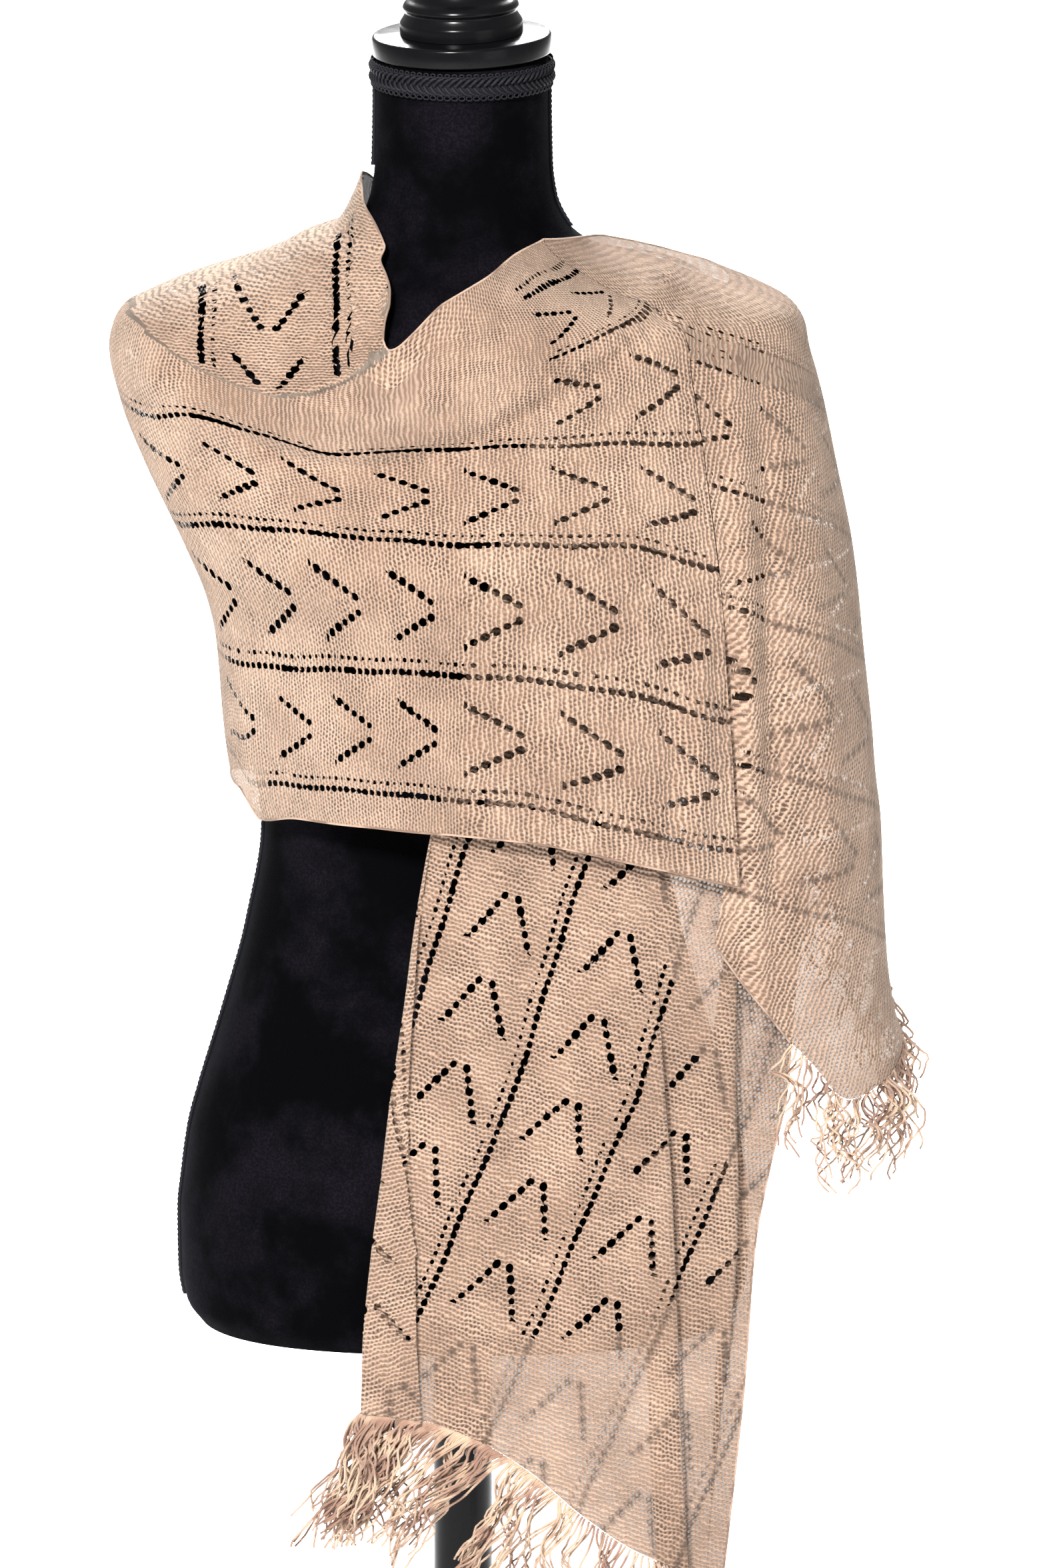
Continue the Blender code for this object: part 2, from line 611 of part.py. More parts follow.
def finish_material(name, finish):
    material = bpy.data.materials.get(name) or bpy.data.materials.new(name)
    material.use_nodes = True
    shader = material.node_tree.nodes["Principled BSDF"]
    shader.inputs["Base Color"].default_value = finish.colour
    shader.inputs["Roughness"].default_value = finish.roughness
    shader.inputs["Metallic"].default_value = finish.metallic
    return material


def add_object(name, mesh, finish_name, finish, parts, smooth=True):
    obj = bpy.data.objects.new(name, mesh)
    obj.data.materials.append(finish_material(finish_name, finish))
    if smooth:
        mesh.shade_smooth()
        mesh.set_sharp_from_angle(angle=math.radians(50))
    parts.objects.link(obj)
    return obj


def mapped_grid(columns, rows, point):
    """A bmesh grid whose corners (0 to 1 across, 0 to 1 up) are moved to point(u, v)."""
    bm = bmesh.new()
    bmesh.ops.create_grid(bm, x_segments=columns, y_segments=rows, size=1)
    bm.verts.ensure_lookup_table()
    u = np.array([(v.co.x + 1) / 2 for v in bm.verts])
    v = np.array([(v.co.y + 1) / 2 for v in bm.verts])
    cells = {}
    for face in bm.faces:
        centre = face.calc_center_median()
        cell = (int((centre.x + 1) / 2 * columns), int((centre.y + 1) / 2 * rows))
        cells[cell] = face
    for vert, place in zip(bm.verts, point(u, v)):
        vert.co = place
    return bm, cells


def open_eyelet(bm, face):
    """Cuts one eyelet through a cell and keeps the cloth round it."""
    corners = list(face.verts)
    centre = face.calc_center_median()
    long_way = (corners[1].co - corners[0].co + corners[2].co - corners[3].co) / 2
    short_way = (corners[3].co - corners[0].co + corners[2].co - corners[1].co) / 2
    half_long = long_way.normalized() * min(EYELET_LENGTH / 2, long_way.length * EYELET_SHARE)
    half_short = short_way.normalized() * min(EYELET_HEIGHT / 2, short_way.length * EYELET_SHARE)
    signs = ((-1, -1), (1, -1), (1, 1), (-1, 1))
    inner = [bm.verts.new(centre + half_long * a + half_short * b) for a, b in signs]
    for i in range(4):
        j = (i + 1) % 4
        bm.faces.new((corners[i], corners[j], inner[j], inner[i]))
    bm.faces.remove(face)


def cloth(name, bm, cells, holes, parts):
    """A cloth wall from an open surface, with eyelets cut through the chosen cells."""
    for cell in holes:
        open_eyelet(bm, cells[cell])
    mesh = bpy.data.meshes.new(name)
    bm.to_mesh(mesh)
    bm.free()
    obj = add_object(name, mesh, "linen_yarn", YARN, parts)
    wall = obj.modifiers.new("Wall", "SOLIDIFY")
    wall.thickness = WALL
    wall.offset = 0
    return obj


def line_rows(banded):
    """Row borders across the stole, the same near the neck on every stretch.

    Down to the line called banded each eyelet line has a narrow band of its own
    with three cells between bands, and past it there are two plain cells a panel.
    """
    rows = [(1 - LINE_BAND) * i / PANEL_CELLS for i in range(PANEL_CELLS)]
    for line in range(1, LINES - 1):
        if line <= banded:
            rows += [line - LINE_BAND, line + LINE_BAND]
            if line < LINES - 2:
                between = 1 - 2 * LINE_BAND
                rows += [line + LINE_BAND + between * i / PANEL_CELLS for i in (1, 2)]
        else:
            rows += [float(line), line + 0.5] if line < LINES - 2 else [float(line)]
    rows.append(float(LINES - 1))
    return rows


def wound_stretch(stretch, holes, parts):
    """One stretch of the wound stole between two angles in degrees."""
    rows = line_rows(stretch.banded)

    def point(u, v):
        line = np.interp(v, np.linspace(0, 1, len(rows)), rows)
        return wound_point(stretch.start + (stretch.end - stretch.start) * u, line)

    bm, cells = mapped_grid(stretch.columns, len(rows) - 1, point)
    return cloth(stretch.name, bm, cells, holes, parts)


def chest_eyelets():
    """Cells for eyelets on the chest's lines, and for stacked arrowheads in its panels."""
    found = set()
    per_panel = PANEL_CELLS + 1
    middle = PANEL_CELLS // 2
    for line in CHEST_EYELET_LINES:
        row = PANEL_CELLS + (line - 1) * per_panel
        found.update((c, row) for c in range(1, CHEST_EYELET_END))
    for panel in CHEST_ARROW_PANELS:
        base = PANEL_CELLS + 1 + (panel - 1) * per_panel
        for start in range(1, CHEST_EYELET_END, CHEST_EYELET_PITCH):
            for arm in range(PANEL_CELLS):
                across = start + 1 if arm == middle else start
                if across < CHEST_EYELET_END:
                    found.add((across, base + arm))
    return sorted(found)


def revolve(name, profile, finish_name, finish, parts, segments=32, hollow=False):
    """A turned solid, or a ring if hollow, from its profile down the outer side."""
    mesh = bpy.data.meshes.new(name)
    bm = bmesh.new()
    verts = [bm.verts.new((row.radius, 0, row.height)) for row in profile]
    after = verts[1:] + verts[:1] if hollow else verts[1:]
    for a, b in zip(verts, after):
        bm.edges.new((a, b))
    bm.to_mesh(mesh)
    bm.free()
    obj = add_object(name, mesh, finish_name, finish, parts, smooth=False)
    screw = obj.modifiers.new("Turn", "SCREW")
    screw.steps = segments
    screw.render_steps = segments
    screw.use_merge_vertices = True
    screw.merge_threshold = 0.0001
    return obj


def torso_heights():
    return np.array([TORSO_LOW, *np.linspace(*BODY_RINGS), *SHOULDER_RINGS, NECK_TOP])


def torso(parts):
    """Torso and neck as one closed body, lofted through the form's levels."""
    heights = torso_heights()

    def point(u, v):
        height = np.interp(v, np.linspace(0, 1, len(heights)), heights)
        return form_point(2 * math.pi * u, height)

    bm, _ = mapped_grid(TORSO_SIDES, len(heights) - 1, point)
    bmesh.ops.remove_doubles(bm, verts=bm.verts, dist=0.00001)
    rims = [edge for edge in bm.edges if edge.is_boundary]
    bmesh.ops.holes_fill(bm, edges=rims, sides=0)
    bmesh.ops.recalc_face_normals(bm, faces=bm.faces)
    mesh = bpy.data.meshes.new("form_torso")
    bm.to_mesh(mesh)
    bm.free()
    return add_object("form_torso", mesh, "black_velvet", VELVET, parts)


def piping(row, parts):
    """The corded piping on one side seam between two heights, just off the torso."""
    places = []
    heights = torso_heights()
    heights = heights[(heights > row.low) & (heights < row.high)]
    halves = eased(FORM, "height", "half", heights)
    slopes = np.gradient(halves, heights)
    out = PIPING_RADIUS + 2 * TOUCH
    for height, half, slope in zip(heights, halves, slopes):
        steep = math.hypot(1, slope)
        places.append((row.side * (half + out / steep), 0.0, height - out * slope / steep))
    curve = bpy.data.curves.new(row.name, "CURVE")
    curve.dimensions = "3D"
    curve.bevel_depth = PIPING_RADIUS
    curve.bevel_resolution = 0
    curve.use_fill_caps = True
    spline = curve.splines.new("POLY")
    spline.points.add(len(places) - 1)
    for point, place in zip(spline.points, places):
        point.co = (*place, 1)
    obj = bpy.data.objects.new(row.name, curve)
    obj.data.materials.append(finish_material("black_velvet", VELVET))
    parts.objects.link(obj)
    return obj


def fringe(row, edge, parts):
    """A narrow backing strip under an edge, with strands drawn out of every second cell."""
    path = even_path(edge, row.cells)
    bm = bmesh.new()
    rings = []
    for i, place in enumerate(path):
        ahead = path[min(i + 1, len(path) - 1)] - path[max(i - 1, 0)]
        across = np.cross(ahead, (0, 0, 1))
        across /= np.linalg.norm(across)
        low = place - np.array((0, 0, STRIP_HEIGHT))
        sides = (place, low + across * STRIP_DEPTH / 2, low - across * STRIP_DEPTH / 2)
        rings.append([bm.verts.new(p) for p in sides])
    roots = []
    for a, b in zip(rings, rings[1:]):
        bm.faces.new((a[0], a[1], b[1], b[0]))
        bm.faces.new((a[2], a[0], b[0], b[2]))
        roots.append(bm.faces.new((a[1], a[2], b[2], b[1])))
    bm.faces.new((rings[0][0], rings[0][2], rings[0][1]))
    bm.faces.new(rings[-1])
    bm.normal_update()
    strands = roots[1::2]
    for number, face in enumerate(strands):
        share = number / len(strands)
        change = row.slow * math.sin(SLOW_WAVE * share) + row.quick * math.sin(QUICK_WAVE * share)
        sweep = row.sweep * (1 - share) ** 3 + row.stray * math.sin(SLOW_WAVE * share / 2)
        step_down = np.array((sweep, 0, -(row.length + change) / STRAND_STEPS))
        for step in range(STRAND_STEPS):
            new = bmesh.ops.extrude_discrete_faces(bm, faces=[face])["faces"][0]
            turn = math.sin(STRAND_TURN * (step + 1) + SLOW_WAVE * share)
            move = np.array(row.bend) * turn + step_down
            bmesh.ops.translate(bm, verts=new.verts, vec=move)
            centre = new.calc_center_median()
            for vert in new.verts:
                vert.co = centre + (vert.co - centre) * STRAND_TAPER
            face = new
    bmesh.ops.recalc_face_normals(bm, faces=bm.faces)
    mesh = bpy.data.meshes.new(row.name)
    bm.to_mesh(mesh)
    bm.free()
    return add_object(row.name, mesh, "fringe_yarn", STRAW, parts)


def even_path(points, cells):
    """Places at equal steps along a broken line."""
    points = np.asarray(points)
    lengths = np.linalg.norm(np.diff(points, axis=0), axis=1)
    run = np.concatenate([[0], np.cumsum(lengths)])
    at = np.linspace(0, run[-1], cells + 1)
    return np.stack([np.interp(at, run, points[:, k]) for k in range(3)], -1)


def front_fringe(parts):
    """The fringe of end A, under the hem from the fold to the side and past both pleats."""
    edge = fall_point(FRINGE_STATIONS, np.ones(len(FRINGE_STATIONS)))
    edge[:, 2] -= 3 * SEAM_GAP
    return fringe(FRONT_FRINGE, edge, parts)


def side_fringe(parts):
    """The fringe of end B, under the wing's slanting lower edge."""
    v = np.linspace(*SIDE_FRINGE_SPAN, SIDE_FRINGE.cells)
    edge = wing_point(np.ones_like(v), v)
    edge[:, 2] -= WALL / 2 + 2 * SEAM_GAP
    return fringe(SIDE_FRINGE, edge, parts)


def fall(parts):
    """End A, with rows close together at the crest and down the part that shows."""
    rows = [*FALL_CREST_ROWS, *np.linspace(FALL_CREST_ROWS[-1], 1, FALL_ROWS + 1)[1:]]

    def point(u, v):
        q = np.interp(v, np.linspace(0, 1, len(rows)), rows)
        return fall_point(u * (FALL_STATIONS - 1), q)

    bm, cells = mapped_grid(FALL_STATIONS - 1, len(rows) - 1, point)
    shown = [cell for cell in cells if cell[0] in FALL_OPEN and cell[1] >= len(FALL_CREST_ROWS)]
    centres = np.array([cells[cell].calc_center_median()[:] for cell in shown])
    holes = []
    for line in FALL_EYELETS:
        steps = np.linspace(0, 1, line.count)[:, None]
        for across, height in np.array(line.start) * (1 - steps) + np.array(line.end) * steps:
            away = np.hypot(centres[:, 0] - across, centres[:, 2] - height)
            holes.append(shown[away.argmin()])
    return cloth("stole_front_fall", bm, cells, sorted(set(holes)), parts)


def wing(parts):
    """The left wing, with eyelets along the rows of cells that show them."""
    rows = np.array(line_rows(WING_BANDED)) / (LINES - 1)

    def point(u, v):
        return wing_point(u, np.interp(v, np.linspace(0, 1, len(rows)), rows))

    bm, cells = mapped_grid(WING_COLUMNS, len(rows) - 1, point)
    holes = [(line.first + line.pitch * i, line.row) for line in WING_EYELETS for i in range(line.count)]
    return cloth("stole_left_wing", bm, cells, holes, parts)


def raised(profile, height):
    return [Turned(row.radius, row.height + height) for row in profile]


def stand(parts):
    """The turned pieces above and below the torso, with the disc and knob a little aslant."""
    wood = ("black_turned_wood", TURNED_WOOD, parts)
    disc_low = NECK_TOP + TOUCH
    knob_low = disc_low + DISC_HEIGHT + TOUCH
    cap = revolve("form_neck_cap", raised(NECK_DISC, disc_low), *wood)
    knob = revolve("form_finial", raised(FINIAL, knob_low), *wood, segments=24)
    turned_low = disc_low * math.cos(CAP_TILT) - math.tan(CAP_TILT) * DISC_RADIUS
    for obj in (cap, knob):
        obj.rotation_euler = (0, -CAP_TILT, 0)
        obj.location = (disc_low * math.sin(CAP_TILT), 0, disc_low - turned_low)
    braid = raised(NECK_BRAID, NECK_TOP)
    revolve("form_neck_braid", braid, "black_gimp", GIMP, parts, hollow=True)
    revolve("form_pole", POLE, *wood, segments=24)
    revolve("form_base", BASE, *wood, segments=36)


def main():
    for obj in list(bpy.data.objects):
        bpy.data.objects.remove(obj)
    parts = bpy.data.collections.new("stole_on_dress_form")
    bpy.context.scene.collection.children.link(parts)

    torso(parts)
    for row in PIPINGS:
        piping(row, parts)
    stand(parts)

    wound_stretch(CHEST, chest_eyelets(), parts)
    wound_stretch(SHOULDER, [], parts)
    wound_stretch(BACK, [], parts)
    wing(parts)
    fall(parts)
    front_fringe(parts)
    side_fringe(parts)


if __name__ == "__main__":
    main()
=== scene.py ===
"""Looks for a knitted lace stole wrapped round a limbless dress form.

Laid out as an add-on and run as a script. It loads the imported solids, makes a
finer piece over each of them and sets up the stage. Metres, +Z up, and the form
faces -Y. Cloth coordinates are metres along the stole (s), from end A to end B,
and metres across it (t), from the top edge to the hem.
"""

import math
from collections import namedtuple

import bpy
import numpy as np
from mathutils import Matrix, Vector


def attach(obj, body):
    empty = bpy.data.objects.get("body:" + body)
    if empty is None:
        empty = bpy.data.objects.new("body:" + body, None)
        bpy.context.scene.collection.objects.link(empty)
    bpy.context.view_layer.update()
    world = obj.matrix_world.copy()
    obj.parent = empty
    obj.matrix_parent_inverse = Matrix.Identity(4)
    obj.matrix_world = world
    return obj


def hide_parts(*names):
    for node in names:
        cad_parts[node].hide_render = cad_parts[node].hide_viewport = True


bl_info = {
    "name": "Lace Stole on a Dress Form",
    "version": (1, 0, 0),
    "blender": (4, 5, 0),
    "location": "View3D > Sidebar > Stole",
    "description": "Knits a finer stole with its fringes and dresses its form",
    "category": "Object",
}

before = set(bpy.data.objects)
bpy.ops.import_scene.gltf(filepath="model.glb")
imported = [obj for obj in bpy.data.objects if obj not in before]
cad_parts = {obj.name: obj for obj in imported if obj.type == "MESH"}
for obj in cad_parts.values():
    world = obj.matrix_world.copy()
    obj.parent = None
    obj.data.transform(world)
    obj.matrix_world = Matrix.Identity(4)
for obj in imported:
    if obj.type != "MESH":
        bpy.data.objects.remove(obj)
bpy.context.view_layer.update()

# The cloth: how full its sections are, its lines, and where the back starts and ends.
OVAL = 0.55
LINES = 8
BACK_START = -269.6
BACK_END = -112.2

# The form and its pole stand.
NECK_TOP = 1.4625
NECK_RADIUS = 0.0508
TORSO_LOW = 0.698
DISC_RADIUS = 0.0530
DISC_HEIGHT = 0.0120
CAP_TILT = math.radians(1.5)
POLE_RADIUS = 0.0175
COLLAR_RADIUS = 0.0240
BASE_RADIUS = 0.165
BASE_HEIGHT = 0.030
PIPING_RADIUS = 0.0015
TOUCH = 0.0003

# The corded piping on the side seams, in the stretches that show.
Piping = namedtuple("Piping", "name side low high")
PIPINGS = (
    Piping("form_piping_right", -1, 0.711, 1.250),
    Piping("form_piping_left", 1, 0.711, 1.250),
    Piping("form_neck_piping_right", -1, 1.397, 1.446),
    Piping("form_neck_piping_left", 1, 1.360, 1.446),
)

# Turned profiles, each from its own lowest or highest level.
Turned = namedtuple("Turned", "radius height")
FINIAL = (
    Turned(0, 0.0960),
    Turned(0.0100, 0.0945),
    Turned(0.0180, 0.0890),
    Turned(0.0215, 0.0800),
    Turned(0.0190, 0.0700),
    Turned(0.0120, 0.0620),
    Turned(0.0120, 0.0590),
    Turned(0.0170, 0.0560),
    Turned(0.0170, 0.0530),
    Turned(0.0215, 0.0420),
    Turned(0.0245, 0.0300),
    Turned(0.0285, 0.0220),
    Turned(0.0335, 0.0185),
    Turned(0.0345, 0.0160),
    Turned(0.0330, 0.0135),
    Turned(0.0340, 0.0110),
    Turned(0.0352, 0.0090),
    Turned(0.0363, 0.0070),
    Turned(0.0363, 0),
    Turned(0, 0),
)
NECK_DISC = (
    Turned(0, DISC_HEIGHT),
    Turned(DISC_RADIUS - 0.0012, DISC_HEIGHT),
    Turned(DISC_RADIUS, DISC_HEIGHT - 0.0012),
    Turned(DISC_RADIUS, 0.0010),
    Turned(DISC_RADIUS - 0.0010, 0),
    Turned(0, 0),
)
POLE = (
    Turned(0, TORSO_LOW - TOUCH),
    Turned(COLLAR_RADIUS, TORSO_LOW - TOUCH),
    Turned(COLLAR_RADIUS, TORSO_LOW - 0.0060),
    Turned(POLE_RADIUS, TORSO_LOW - 0.0140),
    Turned(POLE_RADIUS, BASE_HEIGHT + TOUCH),
    Turned(0, BASE_HEIGHT + TOUCH),
)
BASE = (
    Turned(0, BASE_HEIGHT),
    Turned(0.0300, BASE_HEIGHT),
    Turned(0.0340, BASE_HEIGHT - 0.0040),
    Turned(0.0460, BASE_HEIGHT - 0.0080),
    Turned(BASE_RADIUS - 0.0200, 0.0160),
    Turned(BASE_RADIUS - 0.0040, 0.0120),
    Turned(BASE_RADIUS, 0.0070),
    Turned(BASE_RADIUS, 0.0015),
    Turned(BASE_RADIUS - 0.0015, 0),
    Turned(0, 0),
)

# The dress form: half width, front depth and back depth at each height.
Level = namedtuple("Level", "height half front back")
FORM = (
    Level(TORSO_LOW, 0.1560, 0.101, 0.107),
    Level(0.710, 0.1645, 0.109, 0.116),
    Level(0.730, 0.1675, 0.112, 0.120),
    Level(0.763, 0.1680, 0.114, 0.121),
    Level(0.789, 0.1655, 0.113, 0.119),
    Level(0.816, 0.1617, 0.111, 0.116),
    Level(0.841, 0.1552, 0.108, 0.111),
    Level(0.889, 0.1407, 0.102, 0.101),
    Level(0.940, 0.1270, 0.094, 0.090),
    Level(1.000, 0.1175, 0.089, 0.082),
    Level(1.060, 0.1270, 0.098, 0.087),
    Level(1.120, 0.1413, 0.112, 0.098),
    Level(1.170, 0.1550, 0.116, 0.105),
    Level(1.220, 0.1730, 0.112, 0.107),
    Level(1.260, 0.1810, 0.101, 0.104),
    Level(1.295, 0.1780, 0.089, 0.097),
    Level(1.312, 0.1620, 0.082, 0.090),
    Level(1.324, 0.1350, 0.076, 0.084),
    Level(1.338, 0.0980, 0.070, 0.077),
    Level(1.352, 0.0720, 0.064, 0.069),
    Level(1.361, 0.0630, 0.0600, 0.0620),
    Level(1.380, 0.0540, 0.0540, 0.0550),
    Level(1.400, 0.0515, 0.0515, 0.0515),
    Level(1.440, NECK_RADIUS, NECK_RADIUS, NECK_RADIUS),
    Level(NECK_TOP, NECK_RADIUS, NECK_RADIUS, NECK_RADIUS),
)

# The outer cloth: how far it stands off the axis to each side at each height.
Drape = namedtuple("Drape", "height right left front back")
DRAPE = (
    Drape(0.540, 0.1250, 0.2620, 0.133, 0.118),
    Drape(0.863, 0.1250, 0.2620, 0.133, 0.117),
    Drape(0.888, 0.1250, 0.2564, 0.133, 0.116),
    Drape(0.917, 0.1250, 0.2525, 0.133, 0.115),
    Drape(0.960, 0.1265, 0.2500, 0.133, 0.112),
    Drape(1.000, 0.1300, 0.2485, 0.133, 0.109),
    Drape(1.032, 0.1380, 0.2450, 0.134, 0.108),
    Drape(1.058, 0.1416, 0.2430, 0.134, 0.108),
    Drape(1.113, 0.1463, 0.2372, 0.134, 0.111),
    Drape(1.137, 0.1515, 0.2350, 0.134, 0.113),
    Drape(1.168, 0.1639, 0.2312, 0.133, 0.116),
    Drape(1.222, 0.1890, 0.2205, 0.124, 0.118),
    Drape(1.256, 0.2020, 0.2135, 0.115, 0.117),
    Drape(1.289, 0.2088, 0.2050, 0.105, 0.113),
    Drape(1.301, 0.2066, 0.2030, 0.100, 0.109),
    Drape(1.311, 0.2010, 0.1975, 0.096, 0.105),
    Drape(1.3165, 0.1900, 0.1880, 0.093, 0.102),
    Drape(1.324, 0.1730, 0.1695, 0.089, 0.098),
    Drape(1.332, 0.1480, 0.1435, 0.084, 0.093),
    Drape(1.3395, 0.1250, 0.1220, 0.080, 0.088),
    Drape(1.3465, 0.1090, 0.1030, 0.076, 0.083),
    Drape(1.3525, 0.0980, 0.0870, 0.073, 0.080),
    Drape(1.3605, 0.0760, 0.0750, 0.070, 0.075),
    Drape(1.3775, 0.0655, 0.0670, 0.064, 0.067),
    Drape(1.396, 0.0580, 0.0610, 0.061, 0.062),
)

# The wound stretch: the height of each line at angles round the form.
Turn = namedtuple("Turn", "angle top line1 line2 line3 line4 line5 line6 hem")
TURNS = (
    Turn(BACK_START, 1.352, 1.348, 1.343, 1.337, 1.331, 1.325, 1.320, 1.317),
    Turn(-245, 1.342, 1.334, 1.314, 1.287, 1.258, 1.229, 1.201, 1.191),
    Turn(-220, 1.336, 1.322, 1.282, 1.238, 1.194, 1.150, 1.107, 1.092),
    Turn(-180, 1.346, 1.328, 1.268, 1.207, 1.145, 1.083, 1.022, 1.001),
    Turn(-140, 1.372, 1.349, 1.287, 1.214, 1.145, 1.078, 1.016, 0.996),
    Turn(-110, 1.388, 1.358, 1.322, 1.246, 1.172, 1.098, 1.042, 1.022),
    Turn(-90, 1.392, 1.361, 1.333, 1.260, 1.186, 1.106, 1.050, 1.030),
    Turn(-74, 1.387, 1.360, 1.332, 1.258, 1.189, 1.108, 1.049, 1.029),
    Turn(-66, 1.381, 1.358, 1.328, 1.257, 1.192, 1.108, 1.036, 1.013),
    Turn(-50, 1.372, 1.353, 1.308, 1.264, 1.197, 1.112, 1.041, 1.019),
    Turn(-35, 1.3585, 1.341, 1.283, 1.256, 1.199, 1.115, 1.043, 1.021),
    Turn(-22, 1.3430, 1.305, 1.270, 1.247, 1.199, 1.117, 1.044, 1.022),
    Turn(-16, 1.3300, 1.292, 1.267, 1.248, 1.198, 1.118, 1.044, 1.022),
    Turn(-12, 1.306, 1.284, 1.266, 1.249, 1.198, 1.118, 1.044, 1.022),
    Turn(-4, 1.331, 1.308, 1.274, 1.251, 1.197, 1.119, 1.044, 1.022),
    Turn(8, 1.345, 1.327, 1.291, 1.252, 1.196, 1.116, 1.040, 1.018),
    Turn(24, 1.357, 1.339, 1.311, 1.252, 1.194, 1.105, 1.022, 1.003),
    Turn(41, 1.363, 1.346, 1.326, 1.250, 1.177, 1.085, 1.007, 0.985),
)

# Layers under others lie closer to the form: how much, and over which angles
# and heights this grows.
UNDER_WING = 0.0080
UNDER_WING_TURN = (-200, -240)
LOWER_CHEST = 0.0070
LOWER_CHEST_TURNS = ((8, -25), (-78, -45))
LOWER_CHEST_HEIGHT = (1.30, 1.22)
WING_START_TURN = (46, 41)
WING_START_HEIGHT = (1.17, 1.11)

# Behind the shoulder the wing stands out over the layers below it.
WING_OVER = 0.0120
WING_OVER_TURN = (93, 125)
WING_CREST = (1.285, 1.315)
WING_CREST_EASE = 0.75

# The borders of the left wing, each as rows at equal steps along it.
Place = namedtuple("Place", "angle height")
WING_TOP = (Place(41.2, 1.363), Place(90, 1.3545), Place(130, 1.305), Place(165, 1.130))
WING_SEAM = (
    *(Place(41.2, height) for height in TURNS[-1][1:6]),
    Place(40.5, 1.072),
    Place(38.5, 0.975),
    Place(37.0, 0.950),
)
WING_HEM = (Place(37.0, 0.950), Place(43.0, 0.919), Place(49.0, 0.8885))
WING_END = (
    Place(165, 1.130),
    Place(145, 1.020),
    Place(120, 0.930),
    Place(90, 0.869),
    Place(62, 0.848),
    Place(49.0, 0.8885),
)

# End A down the front: its turned strip, its two pleats and its outline.
Fall = namedtuple("Fall", "height fold strip pleat1 tuck1 pleat2 tuck2 side")
FALL = (
    Fall(0.560, -0.0655, 0.044, 0.1370, 0.016, 0.1500, 0.0005, 0.1610),
    Fall(0.671, -0.0612, 0.036, 0.1310, 0.016, 0.1600, 0.0030, 0.1750),
    Fall(0.706, -0.0602, 0.033, 0.1300, 0.016, 0.1650, 0.0050, 0.1790),
    Fall(0.767, -0.0545, 0.026, 0.1275, 0.015, 0.1700, 0.0100, 0.1870),
    Fall(0.805, -0.0495, 0.018, 0.1260, 0.014, 0.1705, 0.0130, 0.1960),
    Fall(0.855, -0.0435, 0.011, 0.1220, 0.010, 0.1690, 0.0140, 0.2090),
    Fall(0.920, -0.0340, 0.005, 0.1180, 0.003, 0.1680, 0.0080, 0.2120),
    Fall(0.980, -0.0260, 0.002, 0.1150, 0.000, 0.1660, 0.0010, 0.2110),
    Fall(1.100, -0.0010, 0.000, 0.1050, 0.000, 0.1550, 0.0000, 0.2000),
    Fall(1.210, 0.0260, 0.000, 0.0950, 0.000, 0.1430, 0.0000, 0.1840),
    Fall(1.300, 0.0520, 0.000, 0.1050, 0.000, 0.1400, 0.0000, 0.1720),
    Fall(1.352, 0.0750, 0.000, 0.1150, 0.000, 0.1450, 0.0000, 0.1680),
)

# End A's lower edge: its height at places across the front.
Edge = namedtuple("Edge", "across height")
FALL_HEM = (
    Edge(-0.066, 0.668),
    Edge(-0.030, 0.665),
    Edge(-0.008, 0.657),
    Edge(0.018, 0.648),
    Edge(0.036, 0.636),
    Edge(0.052, 0.618),
    Edge(0.078, 0.601),
    Edge(0.098, 0.586),
    Edge(0.121, 0.573),
    Edge(0.170, 0.558),
)

FALL_HALF = 0.20
CREST_CURVE = 1.1
CREST_SPREAD = 0.12

# Sections of end A: how far the turned strip stands out, the plain cloth beside
# it and between it and the pleats, and the depth and bend of a pleat.
STRIP_OUT = 0.0050
STRIP_EDGE = 0.0080
PLAIN_CELLS = 6
PLEAT_STEP = 0.0085
PLEAT_LIP = 0.0012
PLEAT_LEAST = 0.0020
PLEAT_PLAIN = 0.0060

# How far end A lies inside the outer cloth at each height.
Inset = namedtuple("Inset", "height depth")
FALL_INSET = (
    Inset(0.540, 0.0130),
    Inset(1.090, 0.0130),
    Inset(1.170, 0.0114),
    Inset(1.250, 0.0070),
    Inset(1.300, 0.0080),
    Inset(1.318, 0.0080),
    Inset(1.336, 0.0050),
    Inset(1.400, 0.0050),
)

# Soft folds seen from the front: each follows a bent line, and a groove is negative.
Fold = namedtuple("Fold", "start bend end width height")
ROLL_FOLDS = (
    Fold((-0.180, 1.281), (-0.039, 1.213), (0.122, 1.333), 0.013, 0.0115),
    Fold((-0.150, 1.268), (-0.046, 1.190), (0.126, 1.328), 0.006, -0.0060),
    Fold((-0.010, 1.246), (0.070, 1.262), (0.130, 1.312), 0.008, 0.0055),
    Fold((-0.041, 1.310), (-0.072, 1.286), (-0.100, 1.284), 0.008, -0.0070),
)
CHEST_FOLDS = (
    *ROLL_FOLDS,
    Fold((0.140, 1.150), (0.142, 1.080), (0.139, 1.000), 0.007, 0.0040),
    Fold((0.120, 1.160), (0.123, 1.090), (0.124, 1.010), 0.007, -0.0030),
    Fold((-0.120, 1.170), (-0.020, 1.150), (0.090, 1.165), 0.016, 0.0035),
    Fold((-0.100, 1.060), (0.000, 1.075), (0.110, 1.055), 0.014, 0.0025),
)
WING_FOLDS = (
    *ROLL_FOLDS,
    Fold((0.160, 1.300), (0.172, 1.120), (0.168, 0.960), 0.008, 0.0040),
    Fold((0.176, 1.280), (0.186, 1.100), (0.184, 0.930), 0.007, -0.0040),
    Fold((0.195, 1.270), (0.214, 1.080), (0.222, 0.900), 0.012, 0.0050),
)
